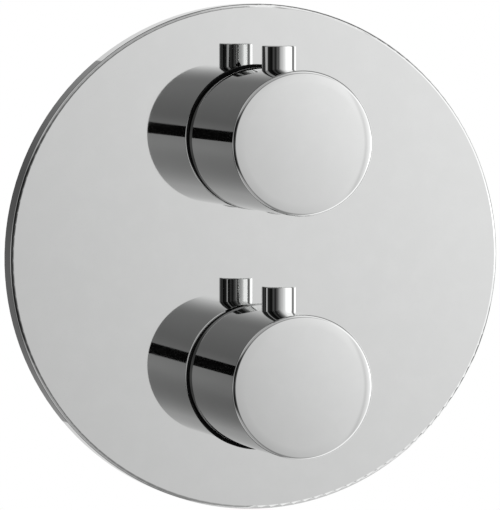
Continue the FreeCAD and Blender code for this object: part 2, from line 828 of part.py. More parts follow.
def make_thermostat_housing():
    """Cartridge housing with its head, flange, guide for the nut, and cold and hot windows."""
    body = new_body("thermostat_housing", z=upper_axis)
    flange = d.lock_thread_diameter / 2 - d.chamber_play
    guide = d.guide_diameter / 2
    hole = spindle_radius + d.running_play
    turn(body, [(hole, d.head_front), (head_radius, d.head_front), (head_radius, flange_front),
                (flange, flange_front), (flange, d.flange_seat), (housing_radius, d.flange_seat),
                (housing_radius, d.housing_end), (housing_bore, d.housing_end), (housing_bore, d.guide_end),
                (guide, d.guide_end), (guide, head_inner), (hole, head_inner)])
    half = d.guide_rib_width / 2
    rib = block(body, "y", nut_front - d.guide_rib_lead, d.guide_end,
                rectangle(guide - d.guide_rib_height, guide + PAST, -half, half))
    repeat_round(body, rib, count=2)
    across = d.window_width / 2
    for station in (cold_station, hot_station):
        window = block(body, "y", station - d.window_length / 2, station + d.window_length / 2,
                       rectangle(housing_bore - PAST, housing_radius + PAST, -across, across), cut=True)
        repeat_round(body, window, d.window_count)
    floor = housing_radius - d.seal_depth
    for station in (d.front_seal_station, d.arm_station, d.rear_seal_station):
        half = d.seal_width / 2
        turn(body, ring_section(floor, housing_radius + PAST, station - half, station + half), cut=True)


def make_thermostat_seals():
    """Three rubber rings round the housing: before the cold inlet, between the two and behind the hot one."""
    floor = housing_radius - d.seal_depth
    outer = housing_radius + d.chamber_play
    along_y = FreeCAD.Rotation(FreeCAD.Vector(1, 0, 0), -90)
    rings = []
    for station in (d.front_seal_station, d.arm_station, d.rear_seal_station):
        half = d.seal_width / 2
        tube = doc.addObject("Part::Cylinder", "SealOutside")
        bore = doc.addObject("Part::Cylinder", "SealInside")
        for cylinder, radius in ((tube, outer), (bore, floor)):
            bind(cylinder, "Radius", radius)
            bind(cylinder, "Height", d.seal_width)
            cylinder.Placement = FreeCAD.Placement(FreeCAD.Vector(), along_y)
            bind(cylinder, "Placement.Base.y", station - half)
            bind(cylinder, "Placement.Base.z", upper_axis)
        ring = doc.addObject("Part::Cut", "SealRing")
        ring.Base = tube
        ring.Tool = bore
        rings.append(ring)
    group = doc.addObject("Part::Compound", "thermostat_seals")
    group.Label = "thermostat_seals"
    group.Links = rings
    return group


def make_thermostat_lock_nut():
    """Ring nut that presses the housing's flange onto its seat, with four slots for a pin key."""
    body = new_body("thermostat_lock_nut", z=upper_axis)
    front = d.mouth_station - d.lock_front
    outer = d.lock_thread_diameter / 2
    inner = head_radius + d.lock_bore_play
    turn(body, ring_section(inner, outer, front, flange_front))
    across = rectangle(inner - PAST, outer + PAST, -d.lock_front, d.lock_front)
    slot = block(body, "y", front, front + d.lock_front, across, cut=True)
    repeat_round(body, slot, count=4)


def make_thermostat_nose():
    """Cap in the housing's rear end that carries the return spring and lets the mixed water out."""
    body = new_body("thermostat_nose", z=upper_axis)
    bore = d.nose_bore_diameter / 2
    turn(body, [(bore, nose_front), (housing_bore, nose_front), (housing_bore, d.housing_end),
                (housing_radius, d.housing_end), (housing_radius, d.chamber_end), (bore, d.chamber_end)])


def make_regulating_nut():
    """Nut that the spindle's screw moves; its cup holds the overload spring."""
    body = new_body("regulating_nut", z=upper_axis)
    outer = d.guide_diameter / 2 - d.lock_bore_play
    thread = d.screw_diameter / 2 + d.running_play
    cup = d.nut_cup_diameter / 2
    turn(body, [(thread, nut_front), (outer, nut_front), (outer, nut_rear), (cup, nut_rear), (cup, nut_ledge),
                (thread, nut_ledge)])
    turn(body, ring_section(cup - d.clip_bite, cup + d.clip_bite, nut_rear - 2 * d.clip_thickness,
                            nut_rear - d.clip_thickness), cut=True)
    half = d.guide_rib_width / 2 + d.lock_bore_play
    floor = d.guide_diameter / 2 - d.guide_rib_height - d.lock_bore_play
    slot = block(body, "y", nut_front, nut_rear, rectangle(floor, outer + PAST, -half, half), cut=True)
    repeat_round(body, slot, count=2)


def make_overload_clip():
    """Snap ring that keeps the pusher in the nut's cup."""
    body = new_body("overload_clip", z=upper_axis)
    outer = d.nut_cup_diameter / 2 + d.clip_bite
    rear = nut_rear - d.clip_thickness
    turn(body, ring_section(outer - d.clip_reach, outer, rear - d.clip_thickness, rear))


def make_overload_spring():
    """Spring that gives way when the shuttle is on its seat."""
    body = new_body("overload_spring", z=upper_axis)
    outer = d.nut_cup_diameter / 2 - d.overload_spring_play
    wire = d.overload_spring_wire
    coil(body, outer - wire / 2, wire, nut_ledge, d.pusher_station, turns=3)


def make_overload_pusher():
    """Disc between the overload spring and the wax element's piston."""
    body = new_body("overload_pusher", z=upper_axis)
    radius = d.nut_cup_diameter / 2 - d.pusher_play
    boss = d.pusher_boss_diameter / 2
    rear = d.pusher_station + d.pusher_thickness
    turn(body, [(0, d.pusher_station), (radius, d.pusher_station), (radius, rear), (boss, rear),
                (boss, d.piston_start), (0, d.piston_start)])


def make_wax_element():
    """Wax element: piston, head, flange on the shuttle's web, and bulb in the mixed water."""
    body = new_body("wax_element", z=upper_axis)
    piston = d.piston_diameter / 2
    head = d.wax_head_diameter / 2
    bulb = d.wax_bulb_diameter / 2
    flange = d.wax_flange_diameter / 2
    flange_start = web_front - d.wax_flange_thickness
    turn(body, [(0, d.piston_start), (piston, d.piston_start), (piston, d.piston_end), (head, d.piston_end),
                (head, d.wax_head_end), (bulb, d.wax_head_end), (bulb, flange_start), (flange, flange_start),
                (flange, web_front), (bulb, web_front), (bulb, d.wax_bulb_end), (0, d.wax_bulb_end)])
    soften(body, "Fillet", d.wax_bulb_round, [(bulb, d.wax_bulb_end)])


def make_shuttle():
    """Sliding ring whose front edge throttles the cold water and whose rear edge throttles the hot."""
    body = new_body("shuttle", z=upper_axis)
    outer = housing_bore - d.running_play
    inner = outer - d.shuttle_wall
    hole = d.wax_bulb_diameter / 2
    groove = outer - d.seal_depth
    half = d.seal_width / 2
    turn(body, [(outer, shuttle_front), (outer, d.arm_station - half), (groove, d.arm_station - half),
                (groove, d.arm_station + half), (outer, d.arm_station + half), (outer, shuttle_rear),
                (inner, shuttle_rear), (inner, web_rear), (hole, web_rear), (hole, web_front),
                (inner, web_front), (inner, shuttle_front)])
    circle = d.shuttle_hole_circle / 2
    passage = rod(body, "y", web_front, web_rear, d.shuttle_hole_diameter / 2, circle, 0, cut=True)
    repeat_round(body, passage, count=8)


def make_shuttle_seal():
    """Rubber ring in the shuttle's groove."""
    body = new_body("shuttle_seal", z=upper_axis)
    outer = housing_bore - d.running_play / 2
    floor = housing_bore - d.running_play - d.seal_depth
    half = d.seal_width / 2
    turn(body, ring_section(floor, outer, d.arm_station - half, d.arm_station + half))


def make_return_spring():
    """Spring that pushes the shuttle back as the wax shrinks."""
    body = new_body("return_spring", z=upper_axis)
    coil(body, d.return_spring_diameter / 2, d.return_spring_wire, web_rear, nose_front, turns=3)


# ---------------------------------------------------------------- flow cartridge

def make_flow_housing():
    """Screwed headpart with a hexagon, four outlet windows and two stop ribs."""
    body = new_body("flow_housing", z=lower_axis)
    hole = spindle_radius + d.running_play
    head = d.flow_head_diameter / 2
    thread = d.flow_thread_diameter / 2
    shell = d.flow_shell_diameter / 2
    bore = d.flow_shell_bore / 2
    collar = d.flow_collar_diameter / 2
    hex_front = d.mouth_station - d.flow_hex_height
    turn(body, [(hole, d.head_front), (head, d.head_front), (head, hex_front), (thread, hex_front),
                (thread, d.flow_thread_end), (shell, d.flow_thread_end), (shell, d.flow_shell_end),
                (bore, d.flow_shell_end), (bore, d.flow_thread_end), (collar, d.flow_thread_end),
                (collar, d.flow_collar_start), (hole, d.flow_collar_start)])

    def hexagon_ring(sketch):
        draw_outline(sketch, hexagon(d.flow_hex_width))
        draw_circle(sketch, 0, 0, thread - PAST)

    extrude(body, "y", hex_front, d.mouth_station, hexagon_ring)
    across = d.flow_window_width / 2
    window = block(body, "y", d.flow_window_start, d.flow_window_start + d.flow_window_length,
                   rectangle(bore - PAST, shell + PAST, -across, across), cut=True)
    repeat_round(body, window, count=4)
    near = d.flow_stop_width / 2 + d.flow_stop_play
    far = near + d.flow_rib_width
    start = d.flow_stop_start
    end = start + d.flow_stop_length
    block(body, "y", start, end, rectangle(d.flow_rib_reach, bore, -far, -near))
    block(body, "y", start, end, rectangle(-far, -near, d.flow_rib_reach, bore))


def make_flow_housing_seal():
    """Flat ring between the headpart's hexagon and the body's mouth."""
    body = new_body("flow_housing_seal", z=lower_axis)
    thread = d.flow_thread_diameter / 2
    rear = d.mouth_station + d.flow_seal_thickness
    turn(body, ring_section(thread, thread + d.seal_width, d.mouth_station, rear))


def disc_openings(body, start, end, across):
    """Two wedge openings opposite each other; across puts them left and right, else above and below."""
    inner, outer = d.disc_opening_inner, d.disc_opening_outer
    low, high = inner * d.disc_opening_slope, outer * d.disc_opening_slope
    wedge = [(inner, -low), (outer, -high), (outer, high), (inner, low)]
    if not across:
        wedge = [(v, u) for u, v in wedge]
    repeat_round(body, block(body, "y", start, end, wedge, cut=True), count=2)


def make_fixed_disc():
    """Ceramic disc that stays still in the headpart."""
    body = new_body("fixed_disc", z=lower_axis)
    start, end = d.disc_station, d.disc_station + d.disc_thickness
    rod(body, "y", start, end, d.disc_diameter / 2)
    disc_openings(body, start, end, across=True)


def make_moving_disc():
    """Ceramic disc that the spindle turns, with a slot for the spindle's tongue."""
    body = new_body("moving_disc", z=lower_axis)
    end = d.disc_station - d.running_play
    start = d.disc_station - d.disc_thickness
    rod(body, "y", start, end, d.disc_diameter / 2)
    disc_openings(body, start, end, across=True)
    tongue = d.driver_width / 2 + d.running_play
    reach = d.driver_length / 2 + d.running_play
    block(body, "y", start, start + d.driver_slot_depth, rectangle(-tongue, tongue, -reach, reach), cut=True)


def make_disc_seal():
    """Rubber seat that presses the discs together and seals on the chamber's floor."""
    body = new_body("disc_seal", z=lower_axis)
    turn(body, ring_section(d.flow_seat_diameter / 2, d.disc_diameter / 2, d.disc_station + d.disc_thickness,
                            d.flow_cavity_end))


# ---------------------------------------------------------------- valve body

def make_valve_body():
    """Brass casting: two chambers, hot and cold inlets, outlet, duct behind, waist and two fixing lugs."""
    body = new_body("valve_body")
    chamber = d.chamber_diameter / 2
    spigot = d.spigot_diameter / 2
    arm = d.arm_diameter / 2
    waist = d.waist_width / 2
    block(body, "z", lower_axis, upper_axis, rectangle(-waist, waist, d.waist_front, d.body_back - d.waist_step))
    round_upright_edges(body)
    for axis in (upper_axis, lower_axis):
        rod(body, "y", spigot_end, d.body_back, chamber, 0, axis)
        rod(body, "y", d.mouth_station, spigot_end, spigot, 0, axis)
    rod(body, "x", -d.arm_reach, d.arm_reach, arm, d.arm_station, upper_axis)
    outlet_end = lower_axis - d.outlet_reach
    rod(body, "z", outlet_end, lower_axis, arm, 0, d.arm_station)
    lug = d.lug_spacing / 2
    lug_front = d.body_back - d.lug_thickness
    half = d.lug_width / 2
    block(body, "y", lug_front, d.body_back, rectangle(-lug, lug, -half, half))
    for side in (-lug, lug):
        rod(body, "y", lug_front, d.body_back, half, side, 0)
    soften_casting(body, chamber, arm, outlet_end)
    # upper chamber, its two annular grooves and the mixing bore behind
    rod(body, "y", d.mouth_station, d.flange_seat, d.lock_thread_diameter / 2, 0, upper_axis, cut=True)
    rod(body, "y", d.flange_seat, d.chamber_end, housing_radius + d.chamber_play, 0, upper_axis, cut=True)
    mix_end = d.duct_station + d.duct_diameter / 2
    rod(body, "y", d.chamber_end, mix_end, d.mix_bore_diameter / 2, 0, upper_axis, cut=True)
    half_window = d.window_length / 2
    annulus = d.annulus_diameter / 2
    for station in (cold_station, hot_station):
        rod(body, "y", station - half_window, station + half_window, annulus, 0, upper_axis, cut=True)
    # inlets: thread, strainer seat, check valve bore and port, hot on the left and cold on the right
    for side, station in ((-1, hot_station), (1, cold_station)):
        reaches = [(thread_end, d.arm_reach, d.thread_radius, d.arm_station),
                   (check_outer, thread_end, d.strainer_seat_diameter / 2, d.arm_station),
                   (d.check_bore_end, check_outer, d.check_bore_diameter / 2, d.arm_station),
                   (housing_radius, d.check_bore_end, d.port_diameter / 2, station)]
        for near, far, radius, centre in reaches:
            low, high = (near, far) if side > 0 else (-far, -near)
            rod(body, "x", low, high, radius, centre, upper_axis, cut=True)
    # lower chamber, seat, outlet and the duct that brings the mixed water down
    thread = d.flow_thread_diameter / 2
    seal_seat = d.mouth_station + d.flow_seal_thickness
    rod(body, "y", d.mouth_station, d.flow_thread_end, thread + d.running_play, 0, lower_axis, cut=True)
    rod(body, "y", d.mouth_station, seal_seat, thread + d.seal_width, 0, lower_axis, cut=True)
    rod(body, "y", d.flow_thread_end, d.flow_cavity_end, d.flow_cavity_diameter / 2, 0, lower_axis, cut=True)
    seat = d.flow_seat_diameter / 2
    outlet_thread_end = outlet_end + d.thread_length
    rod(body, "y", d.flow_cavity_end, d.duct_station, seat, 0, lower_axis, cut=True)
    rod(body, "z", outlet_end, outlet_thread_end, d.thread_radius, 0, d.arm_station, cut=True)
    rod(body, "z", outlet_thread_end, lower_axis, seat, 0, d.arm_station, cut=True)
    top = upper_axis + chamber
    rod(body, "z", lower_axis, top, d.duct_diameter / 2, 0, d.duct_station, cut=True)
    plug = d.duct_plug_diameter / 2
    rod(body, "z", top - d.duct_plug_length, top + PAST, plug, 0, d.duct_station, cut=True)
    for side in (-lug, lug):
        rod(body, "y", lug_front, d.body_back, d.lug_hole_diameter / 2, side, 0, cut=True)


def round_upright_edges(body):
    """Rounds the waist's four edges that run from chamber to chamber."""
    doc.recompute()
    block_shape = body.Tip
    names = []
    for number, edge in enumerate(block_shape.Shape.Edges, start=1):
        if abs(edge.tangentAt(edge.FirstParameter).z) > 0.5:
            names.append(f"Edge{number}")
    fillet = body.newObject("PartDesign::Fillet", "Fillet")
    fillet.Base = (block_shape, names)
    bind(fillet, "Radius", d.waist_round)


def soften_casting(body, chamber, arm, outlet_end):
    """Rounds the chambers' backs, and bevels their front shoulders and the mouths of the three pipe arms."""
    soften(body, "Fillet", d.casting_round, [(chamber, d.body_back)])
    soften(body, "Chamfer", d.chamber_bevel, [(chamber, spigot_end)])
    soften(body, "Chamfer", d.arm_bevel, [(arm, -d.arm_reach), (arm, d.arm_reach)], axis="x")
    soften(body, "Chamfer", d.arm_bevel, [(arm, outlet_end)], axis="z")


def make_duct_plug():
    """Plug in the duct's drilled end, with a hexagon socket."""
    body = new_body("transfer_duct_plug", y=d.duct_station)
    top = upper_axis + d.chamber_diameter / 2
    outside = top - d.duct_plug_recess
    rod(body, "z", top - d.duct_plug_length, outside, d.duct_plug_diameter / 2)
    block(body, "z", top - d.duct_plug_length / 2, outside, hexagon(d.duct_plug_key), cut=True)


# ---------------------------------------------------------------- inlets

def inlet_station(side, distance):
    """A place along the inlet: distance from the centre, on its own side."""
    return distance if side > 0 else -distance


def make_strainer(name, side):
    """Filter cup in its seat behind the inlet's thread."""
    body = new_body(name, y=d.arm_station, z=upper_axis)
    base = inlet_station(side, check_outer)
    rim = inlet_station(side, check_outer + d.strainer_thickness)
    top = inlet_station(side, check_outer + d.strainer_thickness + d.strainer_cup_depth)
    roof = inlet_station(side, check_outer + d.strainer_cup_depth)
    cup = d.strainer_cup_diameter / 2
    inner = cup - d.strainer_thickness
    outer = d.strainer_seat_diameter / 2 - d.running_play
    turn(body, [(base, inner), (base, outer), (rim, outer), (rim, cup), (top, cup), (top, 0), (roof, 0),
                (roof, inner)], about="x")
    low, high = (roof, top) if side > 0 else (top, roof)
    rod(body, "x", low, high, d.strainer_mesh_hole / 2, 0, 0, cut=True)
    for circle, count in ((d.strainer_inner_circle, 6), (d.strainer_outer_circle, 12)):
        hole = rod(body, "x", low, high, d.strainer_mesh_hole / 2, circle / 2, 0, cut=True)
        repeat_round(body, hole, count, about="X_Axis")


def make_check_body(name, side):
    """Cage of the check valve, with a seat outside and a guide for the poppet inside."""
    body = new_body(name, y=d.arm_station, z=upper_axis)
    end = inlet_station(side, check_outer)
    seat = inlet_station(side, check_outer - d.check_seat_length)
    guide_top = inlet_station(side, d.check_bore_end + d.check_end_play + d.check_guide_length)
    guide = inlet_station(side, d.check_bore_end + d.check_end_play)
    outer = d.check_bore_diameter / 2
    seat_radius = d.check_seat_diameter / 2
    room = d.check_room_diameter / 2
    hole = d.poppet_stem_diameter / 2 + d.running_play
    turn(body, [(end, seat_radius), (end, outer), (guide, outer), (guide, hole), (guide_top, hole),
                (guide_top, room), (seat, room), (seat, seat_radius)], about="x")
    low, high = (guide, guide_top) if side > 0 else (guide_top, guide)
    passage = rod(body, "x", low, high, d.check_passage_diameter / 2, d.check_passage_circle / 2, 0, cut=True)
    repeat_round(body, passage, count=4, about="X_Axis")


def make_poppet(name, side):
    """Poppet of the check valve on its seat."""
    body = new_body(name, y=d.arm_station, z=upper_axis)
    seat = check_outer - d.check_seat_length - d.running_play
    face = inlet_station(side, seat)
    back = inlet_station(side, seat - d.poppet_thickness)
    stem_end = inlet_station(side, d.check_bore_end + d.poppet_stem_end)
    radius = d.poppet_diameter / 2
    stem = d.poppet_stem_diameter / 2
    turn(body, [(face, 0), (face, radius), (back, radius), (back, stem), (stem_end, stem), (stem_end, 0)],
         about="x")


def make_check_spring(name, side):
    """Spring that closes the check valve."""
    body = new_body(name, y=d.arm_station, z=upper_axis)
    guide_top = d.check_bore_end + d.check_end_play + d.check_guide_length
    back = check_outer - d.check_seat_length - d.running_play - d.poppet_thickness
    low, high = (guide_top, back) if side > 0 else (-back, -guide_top)
    coil(body, d.check_spring_diameter / 2, d.check_spring_wire, low, high, turns=3, about="x")


# ---------------------------------------------------------------- the whole valve

def build():
    """Makes every piece."""
    make_cover_plate()
    make_plate_gasket()
    for name, axis in (("upper", upper_axis), ("lower", lower_axis)):
        make_collar_ring(f"{name}_collar_ring", axis)
        make_sleeve(f"{name}_sleeve", axis)
    make_face_ring("upper_face_ring", upper_axis, d.face_ring_shift)
    make_face_ring("lower_face_ring", lower_axis, -d.face_ring_shift)
    make_temperature_knob()
    make_knob_shell("flow_knob", lower_axis)
    for name, axis in (("temperature", upper_axis), ("flow", lower_axis)):
        make_peg(f"{name}_peg", axis)
        make_spline_adaptor(f"{name}_spline_adaptor", axis)
        make_grub_screw(f"{name}_grub_screw", axis)
        make_spindle_clip(f"{name}_spindle_clip", axis)
        make_spindle_seal(f"{name}_spindle_seal", axis)
    make_safety_button()
    make_safety_catch()
    make_button_spring()
    make_stop_ring()
    make_temperature_spindle()
    make_flow_spindle()
    make_thermostat_housing()
    make_thermostat_seals()
    make_thermostat_lock_nut()
    make_thermostat_nose()
    make_regulating_nut()
    make_overload_clip()
    make_overload_spring()
    make_overload_pusher()
    make_wax_element()
    make_shuttle()
    make_shuttle_seal()
    make_return_spring()
    make_flow_housing()
    make_flow_housing_seal()
    make_fixed_disc()
    make_moving_disc()
    make_disc_seal()
    make_valve_body()
    make_duct_plug()
    for name, side in (("hot", -1), ("cold", 1)):
        make_strainer(f"{name}_strainer", side)
        make_check_body(f"{name}_check_body", side)
        make_poppet(f"{name}_poppet", side)
        make_check_spring(f"{name}_check_spring", side)
    doc.recompute()


def pieces():
    """The objects that are pieces of the valve."""
    groups = [item for item in doc.Objects if item.TypeId == "Part::Compound"]
    return [item for item in doc.Objects if item.TypeId == "PartDesign::Body"] + groups


def check_and_write():
    """Stops on any failed feature or bad shape, then writes one STEP file for each piece."""
    for item in doc.Objects:
        if "Invalid" in item.State or "Error" in item.State:
            raise RuntimeError(f"{item.Label} ({item.TypeId}) failed: {item.State}")
    for piece in pieces():
        if piece.Shape.isNull() or not piece.Shape.isValid():
            raise RuntimeError(f"{piece.Label}: bad shape")
    os.makedirs("parts", exist_ok=True)
    for piece in pieces():
        piece.Shape.exportStep(f"parts/{piece.Label}.step")
        print(f"{piece.Label}: {len(piece.Shape.Solids)} solid, {piece.Shape.Volume:.1f} mm3")


build()
check_and_write()
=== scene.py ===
"""Finishes, port threads and studio for a thermostatic shower valve.

Lengths are in metres and angles in degrees. Azimuth counts from the front towards the right.
"""
import json
import math

import bmesh
import bpy
from mathutils import Matrix, Vector


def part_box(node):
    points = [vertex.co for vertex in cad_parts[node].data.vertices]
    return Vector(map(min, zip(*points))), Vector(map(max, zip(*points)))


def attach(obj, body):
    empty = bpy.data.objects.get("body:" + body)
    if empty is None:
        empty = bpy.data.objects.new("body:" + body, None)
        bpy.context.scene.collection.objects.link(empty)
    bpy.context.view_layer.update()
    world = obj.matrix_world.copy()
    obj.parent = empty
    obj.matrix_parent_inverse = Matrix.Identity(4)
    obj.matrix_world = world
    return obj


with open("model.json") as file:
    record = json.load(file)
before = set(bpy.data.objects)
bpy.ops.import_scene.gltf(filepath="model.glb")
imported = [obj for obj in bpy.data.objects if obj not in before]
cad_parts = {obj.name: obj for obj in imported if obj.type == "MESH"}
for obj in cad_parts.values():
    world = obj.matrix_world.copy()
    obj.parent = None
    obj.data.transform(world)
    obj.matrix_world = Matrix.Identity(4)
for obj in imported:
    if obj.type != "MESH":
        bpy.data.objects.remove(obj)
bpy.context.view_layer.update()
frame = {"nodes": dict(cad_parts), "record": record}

# ---------------------------------------------------------------- sizes read off the frame

MM = 0.001
body_low, body_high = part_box("valve_body")
knob_low, knob_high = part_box("temperature_knob")
knob_axis = (knob_low.z + knob_high.z) / 2  # the flow knob's axis lies as far below the middle

# ---------------------------------------------------------------- camera

CAMERA_PLACE = Vector((-0.5272, -1.8520, 0.1047))
CAMERA_AIM = Vector((0.000107, 0.0, 0.000209))
CAMERA_ROLL = 0.025
LENS = 380.87
SENSOR = 36.0
CLIP_END = 100.0

# The black box and hood round the camera's place.
CAMERA_BOX = (0.13, 0.159, 0.08)
CAMERA_BOX_DROP = 0.022
HOOD_RADIUS = 0.05
HOOD_LENGTH = 0.12
HOOD_SPOKES = 48
BLACK_PAINT = (0.004, 0.004, 0.004, 1.0)

# ---------------------------------------------------------------- walls of light round the object

# How far off the walls stand: near at the right, far at the left, and nearer again behind.
TENT_NEAR = 1.7
TENT_FAR = 2.3
TENT_NEAR_FROM = 12.0
TENT_FAR_FROM = -8.0
TENT_BEHIND_FROM = -90.0
TENT_RINGS = 96
TENT_SPOKES = 192

# What the plating sees at its own height, as azimuth and brightness.
HORIZON = [
    # behind, at the left: a pale wall with a dark panel
    (-180, 0.75), (-163, 0.13), (-136, 0.10), (-130, 0.75), (-102, 0.75),
    # at the left: a black drape with a slit of light
    (-94, 0.03), (-67, 0.006), (-60, 0.02), (-55, 0.10), (-48, 0.10), (-43, 0.03), (-36, 0.03),
    # in front: a wall that grows brighter to the right
    (-28, 0.14), (-20, 0.22), (-16, 0.42), (-2, 0.66), (5, 0.74), (10, 0.81), (16, 0.975),
    (22, 1.145),
    # at the right: a soft box, with a thin dark gap before it and a wide one after it
    (23.2, 1.10), (24.4, 0.82), (26, 1.40), (36, 1.49), (77, 1.45), (83, 0.55), (89, 0.20),
    (100, 0.24),
    # behind, at the right: a lit wall that fades to the back
    (108, 0.95), (118, 1.75), (135, 0.90), (180, 0.75),
]
HORIZON_TOP = 2.0

# The ceiling is dimmer, from a height that rises with the azimuth between two limits.
CEILING_LEVEL = 0.33
CEILING_FROM = 1.0
CEILING_TO = 16.0
CEILING_TILT = 0.5
CEILING_TILT_LEFT = -14.0
CEILING_TILT_RIGHT = 40.0

# High up in front the ceiling is lit again.
SKYLIGHT_LEVEL = 0.5
SKYLIGHT_FROM = 24.0
SKYLIGHT_TO = 38.0
SKYLIGHT_AZIMUTH = 18.0
SKYLIGHT_INNER = 40.0
SKYLIGHT_OUTER = 70.0

# The share of the light that goes with each degree downward, from a little above the horizon
# until the last share is left. Towards the right and in the soft box less of it goes.
FADE = 0.0195
FADE_TILT = 0.0018
FADE_LEAST = 0.0165
FADE_MOST = 0.045
FADE_TOP = 6.0
FADE_END = 0.45
SOFT_BOX_EDGE = (24.0, 32.0)
SOFT_BOX_FADE = 0.12

# Over and under the drape the room shows again.
DRAPE_EDGE = (20.0, 34.0)
DRAPE_BEYOND = 0.45
DRAPE_LEFT = (-150.0, -120.0)
DRAPE_RIGHT = (-24.0, -12.0)

# A level tube in the soft box, a little under the horizon.
TUBE_LEVEL = 1.2
TUBE_LEFT = (34.0, 44.0)
TUBE_RIGHT = (68.0, 76.0)
TUBE_DROP = 3.0
TUBE_EDGE = (4.0, 9.0)

# ---------------------------------------------------------------- floor, room and lamps

WHITE = (1.0, 1.0, 1.0, 1.0)
FLOOR_TONE = (0.86, 0.86, 0.86, 1.0)
FLOOR_DROP = 0.6
FLOOR_RADIUS = 1.8
FLOOR_CLEAR = 0.9
FLOOR_WHITE_FROM = FLOOR_RADIUS * 0.97
FLOOR_SPOKES = 96
ROOM_LEVEL = 0.55

# Name, place, width and watts.
LAMPS = [
    ("lamp_right", (1.6, -1.6, 1.2), 1.2, 38.0),
    ("lamp_left", (-1.8, -1.2, 0.6), 1.4, 16.0),
    ("lamp_behind", (-1.0, 2.0, 1.4), 1.4, 26.0),
]

# ---------------------------------------------------------------- turned and machined places

# The arcs of a knob's turned front. A middle is given by its distance from the knob's axis.
FLAT_REACH = 0.5 * MM
CROWN_RADIUS = 525.5125 * MM
ROLL_MIDDLE = 18.3574 * MM
ROLL_RADIUS = 67.7428 * MM
EDGE_MIDDLE = 24.05 * MM
EDGE_START = 24.1527 * MM
EDGE_DEPTH = 1.7924 * MM
LEAST_REACH = 0.001 * MM

# How far in from the body's box its mouths and its spigot are machined. The lugs are not.
MOUTH_TURNED = 12.6 * MM
SPIGOT_TURNED = 11.6 * MM
SKIN_CHANGE = 0.4 * MM
LUGS_TOP = 20.0 * MM
LUGS_CLEAR = 21.0 * MM

# The ports' threads. Start and half width are in pitches, the crest is a share of the half
# width, and the run-out is in turns.
THREAD_PITCH = 1.814 * MM
THREAD_LENGTH = 11.0 * MM
THREAD_BORE = 9.315 * MM
THREAD_DEPTH = 0.42 * MM
THREAD_LEAST = 0.01 * MM
THREAD_SEAT = 0.03 * MM
THREAD_STEPS = 60
THREAD_START = 0.6
THREAD_HALF = 0.46
THREAD_CREST = 0.22
THREAD_RUNOUT = 0.5


# ---------------------------------------------------------------- node helpers

def plug(tree, value, socket):
    """Links another node's output to a socket, or sets the socket to a plain value."""
    if isinstance(value, bpy.types.NodeSocket):
        tree.links.new(value, socket)
    else:
        socket.default_value = value


def add(tree, kind, inputs=None, **settings):
    """A node with its settings and its inputs, by name or number."""
    made = tree.nodes.new(kind)
    for name, value in settings.items():
        setattr(made, name, value)
    for key, value in (inputs or {}).items():
        plug(tree, value, made.inputs[key])
    return made


def calc(tree, operation, *terms):
    """The output of one Math node."""
    return add(tree, "ShaderNodeMath", dict(enumerate(terms)), operation=operation).outputs[0]


def plus(tree, first, second):
    """The sum of two values."""
    return calc(tree, "ADD", first, second)


def minus(tree, first, second):
    """The first value less the second."""
    return calc(tree, "SUBTRACT", first, second)


def times(tree, first, second):
    """The product of two values."""
    return calc(tree, "MULTIPLY", first, second)


def clamp(tree, value, low, high):
    """A value held between two limits."""
    return calc(tree, "MINIMUM", calc(tree, "MAXIMUM", value, low), high)


def smooth(tree, value, start, end, low=0.0, high=1.0):
    """A smooth step of a value from low at start to high at end."""
    inputs = {0: value, 1: start, 2: end, 3: low, 4: high}
    return add(tree, "ShaderNodeMapRange", inputs, interpolation_type="SMOOTHSTEP").outputs[0]


def between(tree, mask, low, high):
    """A value between two others by a mask."""
    return smooth(tree, mask, 0.0, 1.0, low, high)


def ramp(tree, value, stops):
    """A colour ramp through stops of (position, colour)."""
    made = add(tree, "ShaderNodeValToRGB", {0: value})
    elements = made.color_ramp.elements
    while len(elements) < len(stops):
        elements.new(0.5)
    for element, (position, colour) in zip(elements, stops):
        element.position = position
        element.color = (*colour, 1.0)
    return made.outputs["Color"]


MIX_FACTOR, MIX_FIRST, MIX_SECOND, MIX_RESULT = 0, 6, 7, 2  # the Mix node's sockets for colours


def mix(tree, factor, first, second):
    """Two colours mixed by a mask."""
    inputs = {MIX_FACTOR: factor, MIX_FIRST: first, MIX_SECOND: second}
    return add(tree, "ShaderNodeMix", inputs, data_type="RGBA").outputs[MIX_RESULT]


def own_place(tree):
    """Where a point lies in its piece's own axes, which are the frame's axes at rest."""
    return add(tree, "ShaderNodeTexCoord").outputs["Object"]


def axes_of(tree, vector):
    """The X, Y and Z of a vector."""
    return add(tree, "ShaderNodeSeparateXYZ", {0: vector}).outputs


def own_normal(tree):
    """The surface's own normal."""
    return add(tree, "ShaderNodeNewGeometry").outputs["Normal"]


def scaled(tree, vector, share):
    """A vector made longer or shorter."""
    inputs = {0: vector, "Scale": share}
    return add(tree, "ShaderNodeVectorMath", inputs, operation="SCALE").outputs[0]


def noise(tree, vector, scale, detail=2.0, roughness=0.5):
    """A noise value of that many cells to the metre."""
    inputs = {"Vector": vector, "Scale": scale, "Detail": detail, "Roughness": roughness}
    return add(tree, "ShaderNodeTexNoise", inputs).outputs["Fac"]


def new_material(name):
    """An empty material, its node tree and its output node."""
    material = bpy.data.materials.new(name)
    material.use_nodes = True
    tree = material.node_tree
    tree.nodes.clear()
    output = add(tree, "ShaderNodeOutputMaterial")
    return material, tree, output


def build_piece(name, shape, material, shaded_smooth=False):
    """Makes a finished bmesh into an object of the scene."""
    mesh = bpy.data.meshes.new(name)
    shape.to_mesh(mesh)
    shape.free()
    if shaded_smooth:
        mesh.shade_smooth()
    mesh.materials.append(material)
    piece = bpy.data.objects.new(name, mesh)
    bpy.context.scene.collection.objects.link(piece)
    return piece


# ---------------------------------------------------------------- the walls' light

